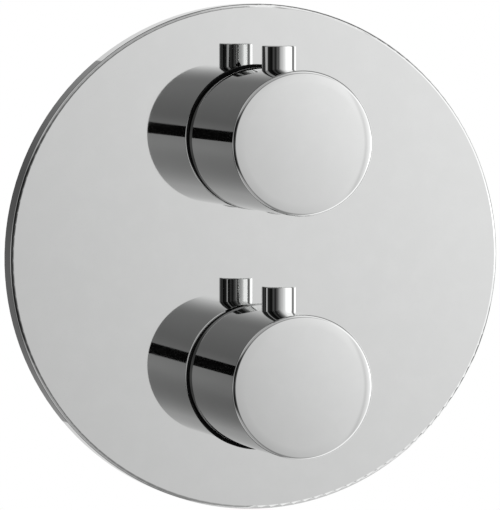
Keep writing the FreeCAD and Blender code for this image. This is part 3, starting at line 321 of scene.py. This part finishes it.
def compass(tree):
    """Azimuth, and height above the horizon, of a point seen from the object."""
    inputs = {0: own_place(tree)}
    aim = add(tree, "ShaderNodeVectorMath", inputs, operation="NORMALIZE").outputs[0]
    axes = axes_of(tree, aim)
    ahead = times(tree, axes["Y"], -1.0)
    azimuth = calc(tree, "DEGREES", calc(tree, "ARCTAN2", axes["X"], ahead))
    height = calc(tree, "DEGREES", calc(tree, "ARCSINE", axes["Z"]))
    return azimuth, height


def horizon_light(tree, azimuth):
    """Brightness at the horizon."""
    turn = calc(tree, "DIVIDE", plus(tree, azimuth, 180.0), 360.0)
    stops = [((angle + 180) / 360, [level / HORIZON_TOP] * 3) for angle, level in HORIZON]
    return times(tree, ramp(tree, turn, stops), HORIZON_TOP)


def share_above(tree, azimuth, height):
    """The share of the horizon's light that is left towards the ceiling."""
    held = clamp(tree, azimuth, CEILING_TILT_LEFT, CEILING_TILT_RIGHT)
    over_wall = minus(tree, height, times(tree, held, CEILING_TILT))
    ceiling = smooth(tree, over_wall, CEILING_FROM, CEILING_TO, 1.0, CEILING_LEVEL)
    aside = calc(tree, "ABSOLUTE", minus(tree, azimuth, SKYLIGHT_AZIMUTH))
    before = smooth(tree, aside, SKYLIGHT_INNER, SKYLIGHT_OUTER, 1.0, 0.0)
    high_up = smooth(tree, height, SKYLIGHT_FROM, SKYLIGHT_TO, 0.0, SKYLIGHT_LEVEL)
    return plus(tree, ceiling, times(tree, high_up, before))


def share_below(tree, azimuth, height):
    """The share of the horizon's light that is left towards the floor."""
    steepness = minus(tree, FADE, times(tree, azimuth, FADE_TILT))
    steepness = clamp(tree, steepness, FADE_LEAST, FADE_MOST)
    steepness = times(tree, steepness, smooth(tree, azimuth, *SOFT_BOX_EDGE, 1.0, SOFT_BOX_FADE))
    drop = times(tree, calc(tree, "MINIMUM", height, FADE_TOP), steepness)
    return calc(tree, "MAXIMUM", plus(tree, drop, 1.0), FADE_END)


def light_round_drape(tree, azimuth, height):
    """The room's light over and under the drape."""
    beyond = smooth(tree, calc(tree, "ABSOLUTE", height), *DRAPE_EDGE, 0.0, DRAPE_BEYOND)
    leftward = times(tree, smooth(tree, azimuth, *DRAPE_RIGHT, 1.0, 0.0),
                     smooth(tree, azimuth, *DRAPE_LEFT))
    return times(tree, beyond, leftward)


def tube_light(tree, azimuth, height):
    """The tube's own light, on top of the soft box's."""
    along = times(tree, smooth(tree, azimuth, *TUBE_LEFT),
                  smooth(tree, azimuth, *TUBE_RIGHT, 1.0, 0.0))
    off = calc(tree, "ABSOLUTE", plus(tree, height, TUBE_DROP))
    return times(tree, along, smooth(tree, off, *TUBE_EDGE, TUBE_LEVEL, 0.0))


def tent_material():
    """The walls' light by direction."""
    material, tree, output = new_material("studio_walls")
    azimuth, height = compass(tree)
    around = horizon_light(tree, azimuth)
    above = share_above(tree, azimuth, height)
    below = share_below(tree, azimuth, height)
    level = times(tree, around, times(tree, above, below))
    level = plus(tree, level, light_round_drape(tree, azimuth, height))
    level = plus(tree, level, tube_light(tree, azimuth, height))
    glow = add(tree, "ShaderNodeEmission", {"Color": WHITE, "Strength": level})
    tree.links.new(glow.outputs[0], output.inputs["Surface"])
    return material


# ---------------------------------------------------------------- studio pieces

def hide_from_all_but_reflections(piece):
    """A studio prop that only mirror surfaces see."""
    piece.visible_camera = False
    piece.visible_diffuse = False
    piece.visible_transmission = False
    piece.visible_volume_scatter = False
    piece.visible_shadow = False


def tent_reach(azimuth):
    """How far the wall stands off in that direction."""
    share = (azimuth - TENT_FAR_FROM) / (TENT_NEAR_FROM - TENT_FAR_FROM)
    share = min(max(share, 0.0), 1.0)
    share = share * share * (3 - 2 * share)
    if azimuth < TENT_BEHIND_FROM:
        share = (TENT_BEHIND_FROM - azimuth) / (180.0 + TENT_BEHIND_FROM)
    return TENT_FAR + (TENT_NEAR - TENT_FAR) * share


def make_tent():
    """The studio's walls: a closed shell round the object."""
    shell = bmesh.new()
    bmesh.ops.create_uvsphere(shell, u_segments=TENT_SPOKES, v_segments=TENT_RINGS, radius=1.0)
    for corner in shell.verts:
        corner.co *= tent_reach(math.degrees(math.atan2(corner.co.x, -corner.co.y)))
    tent = build_piece("studio_tent", shell, tent_material(), shaded_smooth=True)
    hide_from_all_but_reflections(tent)


def camera_stand():
    """The camera's place and direction."""
    look = (CAMERA_AIM - CAMERA_PLACE).to_track_quat("-Z", "Y").to_matrix().to_4x4()
    return Matrix.Translation(CAMERA_PLACE) @ look


def black_material():
    """Dull black paint."""
    material, tree, output = new_material("studio_black")
    paint = add(tree, "ShaderNodeBsdfDiffuse", {"Color": BLACK_PAINT})
    tree.links.new(paint.outputs[0], output.inputs["Surface"])
    return material


def make_camera_shape():
    """A black box and hood where the camera stands, for the dark bars it leaves in the plating."""
    shape = bmesh.new()
    stand = camera_stand()
    middle = stand @ Matrix.Translation((0, -CAMERA_BOX_DROP, 0))
    bmesh.ops.create_cube(shape, size=1.0, matrix=middle @ Matrix.Diagonal((*CAMERA_BOX, 1.0)))
    hood = stand @ Matrix.Translation((0, 0, -HOOD_LENGTH / 2))
    bmesh.ops.create_cone(shape, segments=HOOD_SPOKES, radius1=HOOD_RADIUS, radius2=HOOD_RADIUS,
                          depth=HOOD_LENGTH, cap_ends=True, matrix=hood)
    hide_from_all_but_reflections(build_piece("studio_camera_shape", shape, black_material()))


def seen_directly(tree):
    """1 for what the camera sees, straight or by way of glass or metal."""
    path = add(tree, "ShaderNodeLightPath").outputs
    mirrored = calc(tree, "MAXIMUM", path["Is Glossy Ray"], path["Is Transmission Ray"])
    return calc(tree, "MAXIMUM", path["Is Camera Ray"], mirrored)


def floor_material():
    """Pale paint that turns to plain white towards the floor's rim."""
    material, tree, output = new_material("studio_floor")
    inputs = {0: own_place(tree), 1: (1.0, 1.0, 0.0)}
    flat = add(tree, "ShaderNodeVectorMath", inputs, operation="MULTIPLY").outputs[0]
    reach = add(tree, "ShaderNodeVectorMath", {0: flat}, operation="LENGTH").outputs["Value"]
    paint = add(tree, "ShaderNodeBsdfDiffuse", {"Color": FLOOR_TONE})
    white = add(tree, "ShaderNodeEmission", {"Color": WHITE, "Strength": 1.0})
    rim = smooth(tree, reach, FLOOR_CLEAR, FLOOR_WHITE_FROM)
    seen = times(tree, rim, seen_directly(tree))
    shaders = {0: seen, 1: paint.outputs[0], 2: white.outputs[0]}
    blend = add(tree, "ShaderNodeMixShader", shaders)
    tree.links.new(blend.outputs[0], output.inputs["Surface"])
    return material


def make_floor():
    """A plain pale floor well below the object, which melts into the white background."""
    disc = bmesh.new()
    bmesh.ops.create_circle(disc, cap_ends=True, radius=FLOOR_RADIUS, segments=FLOOR_SPOKES)
    for corner in disc.verts:
        corner.co.z = -FLOOR_DROP
    floor = build_piece("studio_floor", disc, floor_material())
    floor.visible_glossy = False


def make_world():
    """A white background, and an even room light at a plain level."""
    world = bpy.data.worlds.new("studio_room")
    world.use_nodes = True
    tree = world.node_tree
    tree.nodes.clear()
    output = add(tree, "ShaderNodeOutputWorld")
    room = add(tree, "ShaderNodeBackground", {"Color": WHITE, "Strength": ROOM_LEVEL})
    white = add(tree, "ShaderNodeBackground", {"Color": WHITE, "Strength": 1.0})
    shaders = {0: seen_directly(tree), 1: room.outputs[0], 2: white.outputs[0]}
    blend = add(tree, "ShaderNodeMixShader", shaders)
    tree.links.new(blend.outputs[0], output.inputs["Surface"])
    bpy.context.scene.world = world


def make_lamp(name, place, width, watts):
    """A soft lamp that faces the object and stays out of its reflections."""
    light = bpy.data.lights.new(name, "AREA")
    light.shape = "DISK"
    light.size = width
    light.energy = watts
    lamp = bpy.data.objects.new(name, light)
    lamp.location = place
    lamp.rotation_euler = (-Vector(place)).to_track_quat("-Z", "Y").to_euler()
    lamp.visible_glossy = False
    lamp.visible_camera = False
    bpy.context.scene.collection.objects.link(lamp)


def make_camera():
    """The photograph's view: a long lens a little to the left of the object and above it."""
    lens = bpy.data.cameras.new("photo_camera")
    lens.lens = LENS
    lens.sensor_width = SENSOR
    lens.clip_end = CLIP_END
    camera = bpy.data.objects.new("photo_camera", lens)
    camera.matrix_world = camera_stand() @ Matrix.Rotation(math.radians(CAMERA_ROLL), 4, "Z")
    bpy.context.scene.collection.objects.link(camera)
    bpy.context.scene.camera = camera


def make_studio():
    """Camera, walls, floor and lamps."""
    make_camera()
    make_tent()
    make_camera_shape()
    make_floor()
    make_world()
    for lamp in LAMPS:
        make_lamp(*lamp)


# ---------------------------------------------------------------- effects that materials share

# Pores are that much finer than the grain, and the two share the height.
PORES_TO_GRAIN = 3.1
GRAIN_SHARE = 0.7
PORES_SHARE = 0.3

# Lathe rings wander by that many cells to the metre, and change tone over several passes.
RING_DRIFT = 14.0
RING_PASSES = 0.13
CUT_IN_TONE = 0.6

# The cosine between the rounded and the own normal, where wear begins and where it is full.
WEAR_EDGE = (0.995, 0.90)
BEVEL_SAMPLES = 6

# How squarely a surface faces along its turning axis, from side to end face.
END_FACE = (0.6, 0.8)

# How much of the lathe rings' height is left on the casting.
RINGS_ON_CASTING = 0.25


def effect(name, sockets_in, sockets_out):
    """A node group with its inputs (name, kind, value) and outputs. Returns group, inputs, end."""
    group = bpy.data.node_groups.new(name, "ShaderNodeTree")
    for label, kind, value in sockets_in:
        socket = group.interface.new_socket(name=label, in_out="INPUT",
                                            socket_type=f"NodeSocket{kind}")
        socket.default_value = value
    for label in sockets_out:
        group.interface.new_socket(name=label, in_out="OUTPUT", socket_type="NodeSocketFloat")
    entry = group.nodes.new("NodeGroupInput")
    end = group.nodes.new("NodeGroupOutput")
    return group, entry.outputs, end


def use(tree, group, **values):
    """Places an effect in a material. Input names are written with underscores."""
    made = tree.nodes.new("ShaderNodeGroup")
    made.node_tree = group
    for label, value in values.items():
        plug(tree, value, made.inputs[label.replace("_", " ")])
    return made.outputs


def skin_effect():
    """Fine grain of a moulded or blasted surface, with broad faint clouds of tone."""
    group, given, end = effect(
        "Moulded Skin", [("Grain", "Float", 1500.0), ("Clouds", "Float", 60.0)],
        ["Height", "Tone"])
    place = own_place(group)
    grain = noise(group, place, given["Grain"], detail=3.0, roughness=0.6)
    pores = noise(group, place, times(group, given["Grain"], PORES_TO_GRAIN), detail=1.0)
    height = plus(group, times(group, grain, GRAIN_SHARE), times(group, pores, PORES_SHARE))
    group.links.new(height, end.inputs["Height"])
    clouds = noise(group, place, given["Clouds"], detail=4.0, roughness=0.55)
    group.links.new(smooth(group, clouds, 0.3, 0.7), end.inputs["Tone"])
    return group


def lathe_effect():
    """Rings that a turning tool leaves about an axis: a height, and a tone from pass to pass."""
    group, given, end = effect(
        "Lathe Marks",
        [("Along", "Float", 0.0), ("Pitch", "Float", 0.3 * MM), ("Chatter", "Float", 0.3)],
        ["Height", "Tone"])
    passes = calc(group, "DIVIDE", given["Along"], given["Pitch"])
    line = add(group, "ShaderNodeCombineXYZ", {0: passes}).outputs[0]
    drift = scaled(group, own_place(group), RING_DRIFT)
    where = add(group, "ShaderNodeVectorMath", {0: line, 1: drift}, operation="ADD").outputs[0]
    cut = noise(group, where, 1.0, detail=1.5, roughness=0.6)
    waves = noise(group, scaled(group, line, RING_PASSES), 1.0, detail=1.0)
    height = plus(group, cut, times(group, waves, given["Chatter"]))
    group.links.new(height, end.inputs["Height"])
    tone = plus(group, times(group, cut, CUT_IN_TONE), waves)
    group.links.new(smooth(group, tone, 0.45, 1.0), end.inputs["Tone"])
    return group


def edge_effect():
    """A mask of worn edges: where the surface turns sharply within a reach, broken up by noise."""
    group, given, end = effect(
        "Worn Edges", [("Reach", "Float", 0.6 * MM), ("Breakup", "Float", 900.0)], ["Mask"])
    rounded = add(group, "ShaderNodeBevel", {"Radius": given["Reach"]},
                  samples=BEVEL_SAMPLES).outputs[0]
    inputs = {0: rounded, 1: own_normal(group)}
    along = add(group, "ShaderNodeVectorMath", inputs, operation="DOT_PRODUCT").outputs["Value"]
    edge = smooth(group, along, *WEAR_EDGE)
    chips = smooth(group, noise(group, own_place(group), given["Breakup"]), 0.35, 0.6)
    group.links.new(times(group, edge, chips), end.inputs["Mask"])
    return group


def streak_effect():
    """Faint streaks along a drawn wire or a rolled sheet."""
    group, given, end = effect(
        "Drawn Streaks", [("Stretch", "Vector", (1.0, 1.0, 1.0)), ("Grain", "Float", 900.0)],
        ["Height", "Tone"])
    inputs = {0: own_place(group), 1: given["Stretch"]}
    pulled = add(group, "ShaderNodeVectorMath", inputs, operation="MULTIPLY").outputs[0]
    lines = noise(group, pulled, given["Grain"], detail=3.0, roughness=0.65)
    group.links.new(lines, end.inputs["Height"])
    group.links.new(smooth(group, lines, 0.35, 0.65), end.inputs["Tone"])
    return group


SKIN = skin_effect()
LATHE = lathe_effect()
EDGES = edge_effect()
STREAKS = streak_effect()


# ---------------------------------------------------------------- parts of a material

def grade(tree, mask, dark, light):
    """A colour between two shades by a mask."""
    return mix(tree, mask, (*dark, 1.0), (*light, 1.0))


def raised(tree, height, depth, normal=None):
    """A normal from a height, whose full swing is that deep."""
    inputs = {"Strength": 1.0, "Distance": depth, "Height": height}
    if normal is not None:
        inputs["Normal"] = normal
    return add(tree, "ShaderNodeBump", inputs).outputs[0]


def off_knob_axis(tree, axes):
    """How far a point lies off the nearer knob's axis: away from the middle, and in all."""
    lift = minus(tree, calc(tree, "ABSOLUTE", axes["Z"]), knob_axis)
    squares = plus(tree, calc(tree, "POWER", axes["X"], 2.0), calc(tree, "POWER", lift, 2.0))
    return lift, calc(tree, "SQRT", squares)


def turning_station(tree):
    """How far along its turning axis, or out from it, a point of a turned piece lies."""
    axes = axes_of(tree, own_place(tree))
    _, reach = off_knob_axis(tree, axes)
    facing = axes_of(tree, own_normal(tree))["Y"]
    end_face = smooth(tree, calc(tree, "ABSOLUTE", facing), *END_FACE)
    along = times(tree, axes["Y"], minus(tree, 1.0, end_face))
    return plus(tree, along, times(tree, reach, end_face))


def turned_front(tree, place):
    """The normal of a knob's front from its turned arcs, so that no flat of the mesh shows."""
    axes = axes_of(tree, place)
    lift, reach = off_knob_axis(tree, axes)
    reach = calc(tree, "MAXIMUM", reach, LEAST_REACH)
    depth = minus(tree, axes["Y"], knob_low.y)
    crown = calc(tree, "DIVIDE", minus(tree, reach, FLAT_REACH), CROWN_RADIUS)
    roll = calc(tree, "DIVIDE", minus(tree, reach, ROLL_MIDDLE), ROLL_RADIUS)
    sine = calc(tree, "MAXIMUM", calc(tree, "MAXIMUM", crown, roll), 0.0)
    cosine = calc(tree, "SQRT", minus(tree, 1.0, times(tree, sine, sine)))
    on_edge = calc(tree, "GREATER_THAN", reach, EDGE_START)
    before = minus(tree, 1.0, on_edge)
    outward = plus(tree, times(tree, sine, before),
                   times(tree, minus(tree, reach, EDGE_MIDDLE), on_edge))
    ahead = plus(tree, times(tree, cosine, before),
                 times(tree, minus(tree, EDGE_DEPTH, depth), on_edge))
    spread = calc(tree, "DIVIDE", outward, reach)
    upright = times(tree, calc(tree, "SIGN", axes["Z"]), lift)
    parts = {0: times(tree, axes["X"], spread), 1: times(tree, ahead, -1.0),
             2: times(tree, upright, spread)}
    aim = add(tree, "ShaderNodeCombineXYZ", parts).outputs[0]
    turned = add(tree, "ShaderNodeVectorTransform", {0: aim}, vector_type="NORMAL",
                 convert_from="OBJECT", convert_to="WORLD").outputs[0]
    return mix(tree, calc(tree, "LESS_THAN", depth, EDGE_DEPTH), own_normal(tree), turned)


def moulded(tree, grain, clouds, dark, light, roughness, depth, specular=0.5):
    """The inputs of a moulded piece: its clouds set shade and roughness, its grain the normal."""
    skin = use(tree, SKIN, Grain=grain, Clouds=clouds)
    return {
        "Base Color": grade(tree, skin["Tone"], dark, light),
        "Roughness": between(tree, skin["Tone"], *roughness),
        "Specular IOR Level": specular,
        "Normal": raised(tree, skin["Height"], depth),
    }


# ---------------------------------------------------------------- finishes

def polished_chrome(tree):
    """Bright plating: a mirror with the long waves of a buffed casting and a breath of haze."""
    place = own_place(tree)
    waves = noise(tree, place, 42.0, detail=1.5, roughness=0.45)
    haze = smooth(tree, noise(tree, place, 130.0, detail=4.0, roughness=0.6), 0.35, 0.75)
    return {
        "Base Color": grade(tree, haze, (0.660, 0.664, 0.661), (0.673, 0.677, 0.674)),
        "Metallic": 1.0,
        "Roughness": between(tree, haze, 0.022, 0.036),
        "Normal": raised(tree, waves, 0.008 * MM, turned_front(tree, place)),
    }


def cast_brass(tree):
    """Blasted casting skin, dulled in broad patches, with mouths and spigot turned bright."""
    skin = use(tree, SKIN, Grain=1400.0, Clouds=55.0)
    axes = axes_of(tree, own_place(tree))
    arm = body_high.x - MOUTH_TURNED
    arm_end = smooth(tree, calc(tree, "ABSOLUTE", axes["X"]), arm - SKIN_CHANGE, arm)
    arm_mouth = times(tree, arm_end, smooth(tree, axes["Z"], LUGS_TOP, LUGS_CLEAR))
    foot = body_low.z + MOUTH_TURNED
    foot_mouth = smooth(tree, axes["Z"], foot, foot + SKIN_CHANGE, 1.0, 0.0)
    front = body_low.y + SPIGOT_TURNED
    spigot = smooth(tree, axes["Y"], front, front + SKIN_CHANGE, 1.0, 0.0)
    machined = calc(tree, "MAXIMUM", calc(tree, "MAXIMUM", arm_mouth, foot_mouth), spigot)
    along = plus(tree, times(tree, axes["X"], arm_mouth),
                 plus(tree, times(tree, axes["Z"], foot_mouth), times(tree, axes["Y"], spigot)))
    rings = use(tree, LATHE, Along=along, Pitch=0.35 * MM)
    rough_cast = minus(tree, 1.0, machined)
    height = plus(tree, times(tree, skin["Height"], rough_cast),
                  times(tree, times(tree, rings["Height"], RINGS_ON_CASTING), machined))
    dull = grade(tree, skin["Tone"], (0.50, 0.37, 0.17), (0.60, 0.465, 0.235))
    bright = grade(tree, rings["Tone"], (0.66, 0.50, 0.235), (0.76, 0.61, 0.33))
    return {
        "Base Color": mix(tree, machined, dull, bright),
        "Metallic": 1.0,
        "Roughness": between(tree, machined, 0.52, 0.24),
        "Normal": raised(tree, height, 0.12 * MM),
    }


def turned_brass(tree):
    """Bar brass off the lathe, with rings, a little tarnish and bright edges."""
    skin = use(tree, SKIN, Grain=700.0, Clouds=90.0)
    rings = use(tree, LATHE, Along=turning_station(tree), Pitch=0.28 * MM)
    worn = use(tree, EDGES, Reach=0.4 * MM, Breakup=700.0)["Mask"]
    tone = plus(tree, times(tree, rings["Tone"], 0.5), times(tree, skin["Tone"], 0.5))
    metal = grade(tree, tone, (0.60, 0.44, 0.19), (0.76, 0.60, 0.31))
    return {
        "Base Color": mix(tree, worn, metal, (0.86, 0.72, 0.42, 1.0)),
        "Metallic": 1.0,
        "Roughness": between(tree, tone, 0.20, 0.34),
        "Normal": raised(tree, rings["Height"], 0.018 * MM),
    }


def copper_element(tree):
    """Drawn copper with fine streaks and brown bloom."""
    lines = use(tree, STREAKS, Stretch=(1.0, 0.04, 1.0), Grain=1800.0)
    skin = use(tree, SKIN, Grain=900.0, Clouds=160.0)
    tone = times(tree, lines["Tone"], skin["Tone"])
    return {
        "Base Color": grade(tree, tone, (0.42, 0.19, 0.10), (0.80, 0.46, 0.30)),
        "Metallic": 1.0,
        "Roughness": between(tree, skin["Tone"], 0.38, 0.24),
        "Normal": raised(tree, lines["Height"], 0.015 * MM),
    }


def black_sleeve(tree):
    """Black moulded plastic with a fine spark grain."""
    return moulded(tree, grain=2200.0, clouds=70.0, dark=(0.009, 0.009, 0.010),
                   light=(0.016, 0.016, 0.017), roughness=(0.42, 0.54), depth=0.03 * MM,
                   specular=0.35)


def black_rubber(tree):
    """Matt rubber with a grey bloom in patches, darkened far below real rubber as painted shade
    for the gap at the knobs.
    """
    # dark and light: black rubber, darkened further as painted shade for the shaded gap where the
    # knobs meet the plate
    return moulded(tree, grain=2600.0, clouds=120.0, dark=(0.0008, 0.0008, 0.0008),
                   light=(0.003, 0.003, 0.0032), roughness=(0.55, 0.75), depth=0.02 * MM,
                   specular=0.05)


def foam_gasket(tree):
    """Closed-cell foam: small round cells with soft lit rims."""
    inputs = {"Vector": own_place(tree), "Scale": 1500.0}
    cells = add(tree, "ShaderNodeTexVoronoi", inputs, feature="SMOOTH_F1").outputs["Distance"]
    skin = use(tree, SKIN, Grain=1200.0, Clouds=80.0)
    shade = times(tree, smooth(tree, cells, 0.1, 0.7), 0.7)
    tone = plus(tree, shade, times(tree, skin["Tone"], 0.3))
    return {
        "Base Color": grade(tree, tone, (0.022, 0.022, 0.023), (0.075, 0.075, 0.078)),
        "Roughness": smooth(tree, cells, 0.0, 0.8, 0.95, 0.75),
        "Normal": raised(tree, cells, 0.18 * MM),
    }


def white_plastic(tree):
    """White moulded plastic, a little yellow in its darker clouds."""
    return moulded(tree, grain=1700.0, clouds=45.0, dark=(0.74, 0.735, 0.70),
                   light=(0.80, 0.80, 0.775), roughness=(0.36, 0.46), depth=0.02 * MM)


def grey_plastic(tree):
    """Grey moulded plastic with the faint swirl of its filler."""
    return moulded(tree, grain=1500.0, clouds=210.0, dark=(0.26, 0.27, 0.29),
                   light=(0.33, 0.34, 0.36), roughness=(0.40, 0.52), depth=0.025 * MM)


def spring_steel(tree):
    """Drawn stainless wire with fine die lines."""
    lines = use(tree, STREAKS, Stretch=(1.0, 5.0, 1.0), Grain=900.0)
    return {
        "Base Color": grade(tree, lines["Tone"], (0.42, 0.425, 0.435), (0.58, 0.585, 0.59)),
        "Metallic": 1.0,
        "Roughness": between(tree, lines["Tone"], 0.30, 0.20),
        "Normal": raised(tree, lines["Height"], 0.012 * MM),
    }


def black_steel(tree):
    """Blackened steel, rubbed bright along its edges."""
    skin = use(tree, SKIN, Grain=1800.0, Clouds=240.0)
    worn = use(tree, EDGES, Reach=0.25 * MM, Breakup=1600.0)["Mask"]
    oxide = grade(tree, skin["Tone"], (0.035, 0.035, 0.04), (0.085, 0.085, 0.09))
    return {
        "Base Color": mix(tree, worn, oxide, (0.42, 0.42, 0.43, 1.0)),
        "Metallic": 1.0,
        "Roughness": between(tree, worn, 0.48, 0.28),
        "Normal": raised(tree, skin["Height"], 0.02 * MM),
    }


def steel_mesh(tree):
    """Rolled stainless sheet of the strainers."""
    lines = use(tree, STREAKS, Stretch=(1.0, 1.0, 0.06), Grain=1500.0)
    worn = use(tree, EDGES, Reach=0.2 * MM, Breakup=1500.0)["Mask"]
    sheet = grade(tree, lines["Tone"], (0.50, 0.50, 0.505), (0.62, 0.62, 0.62))
    return {
        "Base Color": mix(tree, worn, sheet, (0.75, 0.75, 0.75, 1.0)),
        "Metallic": 1.0,
        "Roughness": between(tree, lines["Tone"], 0.34, 0.24),
        "Normal": raised(tree, lines["Height"], 0.01 * MM),
    }


def white_ceramic(tree):
    """Lapped ceramic, smooth with faint grey flecks."""
    skin = use(tree, SKIN, Grain=2400.0, Clouds=130.0)
    flecks = smooth(tree, noise(tree, own_place(tree), 2600.0), 0.66, 0.72)
    plain = grade(tree, skin["Tone"], (0.80, 0.79, 0.765), (0.86, 0.855, 0.835))
    return {
        "Base Color": mix(tree, flecks, plain, (0.55, 0.54, 0.53, 1.0)),
        "Roughness": between(tree, skin["Tone"], 0.12, 0.2),
        "Normal": raised(tree, skin["Height"], 0.006 * MM),
    }


def finish_surface(finish):
    """A material whose Principled shader takes the inputs that a finish returns."""
    material, tree, output = new_material(finish.__name__)
    shader = add(tree, "ShaderNodeBsdfPrincipled", finish(tree))
    tree.links.new(shader.outputs[0], output.inputs["Surface"])
    return material


FINISHES = [polished_chrome, cast_brass, turned_brass, copper_element, black_sleeve, black_rubber,
            foam_gasket, white_plastic, grey_plastic, spring_steel, black_steel, steel_mesh,
            white_ceramic]
materials = {finish.__name__: finish_surface(finish) for finish in FINISHES}


def dress_cad_nodes():
    """Gives each CAD node the material of its slot in the record."""
    for entry in frame["record"]["subparts"]:
        piece = frame["nodes"].get(entry["node"])
        if piece is None:
            continue
        for slot in piece.material_slots:
            slot.material = materials[entry["material_slot"]]


# ---------------------------------------------------------------- threads of the three pipe ports

def thread_rings(ridge, mouth, inward):
    """The four-cornered sections of a thread's ridge, step by step down a bore from its mouth."""
    across = Vector((0, 1, 0))
    upright = inward.cross(across)
    count = int((THREAD_LENGTH / THREAD_PITCH - 1) * THREAD_STEPS)
    half = inward * (THREAD_PITCH * THREAD_HALF)
    outer = THREAD_BORE + THREAD_SEAT
    rings = []
    for step in range(count + 1):
        turned = step / THREAD_STEPS
        fade = min(step, count - step) / (THREAD_STEPS * THREAD_RUNOUT)
        crest = THREAD_BORE - max(THREAD_DEPTH * min(fade, 1.0), THREAD_LEAST)
        spoke = across * math.cos(turned * math.tau) + upright * math.sin(turned * math.tau)
        start = mouth + inward * (THREAD_PITCH * (turned + THREAD_START))
        rings.append([ridge.verts.new(start + spoke * outer - half),
                      ridge.verts.new(start + spoke * crest - half * THREAD_CREST),
                      ridge.verts.new(start + spoke * crest + half * THREAD_CREST),
                      ridge.verts.new(start + spoke * outer + half)])
    return rings


def make_port_thread(name, mouth, inward):
    """A helical ridge inside a port's bore, from its mouth inward."""
    ridge = bmesh.new()
    rings = thread_rings(ridge, mouth, inward)
    for first, second in zip(rings, rings[1:]):
        for i in range(4):
            following = (i + 1) % 4
            ridge.faces.new((first[i], first[following], second[following], second[i]))
    ridge.faces.new(rings[0][::-1])
    ridge.faces.new(rings[-1])
    bmesh.ops.recalc_face_normals(ridge, faces=ridge.faces)
    piece = build_piece(name, ridge, materials["cast_brass"])
    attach(piece, "valve")


def make_port_threads():
    """Threads in the hot inlet, the cold inlet and the outlet, placed by the record's mounts."""
    for mount in frame["record"]["mounts"]:
        if mount["kind"] != "threaded_hole":
            continue
        outward = Vector(mount["axis"])
        mouth = Vector(mount["pos_m"]) + outward * mount["dims"]["length_mm"] * MM / 2
        make_port_thread(f"{mount['name']}_thread", mouth, -outward)


make_studio()
dress_cad_nodes()
make_port_threads()

bpy.context.scene.view_settings.view_transform = "Standard"
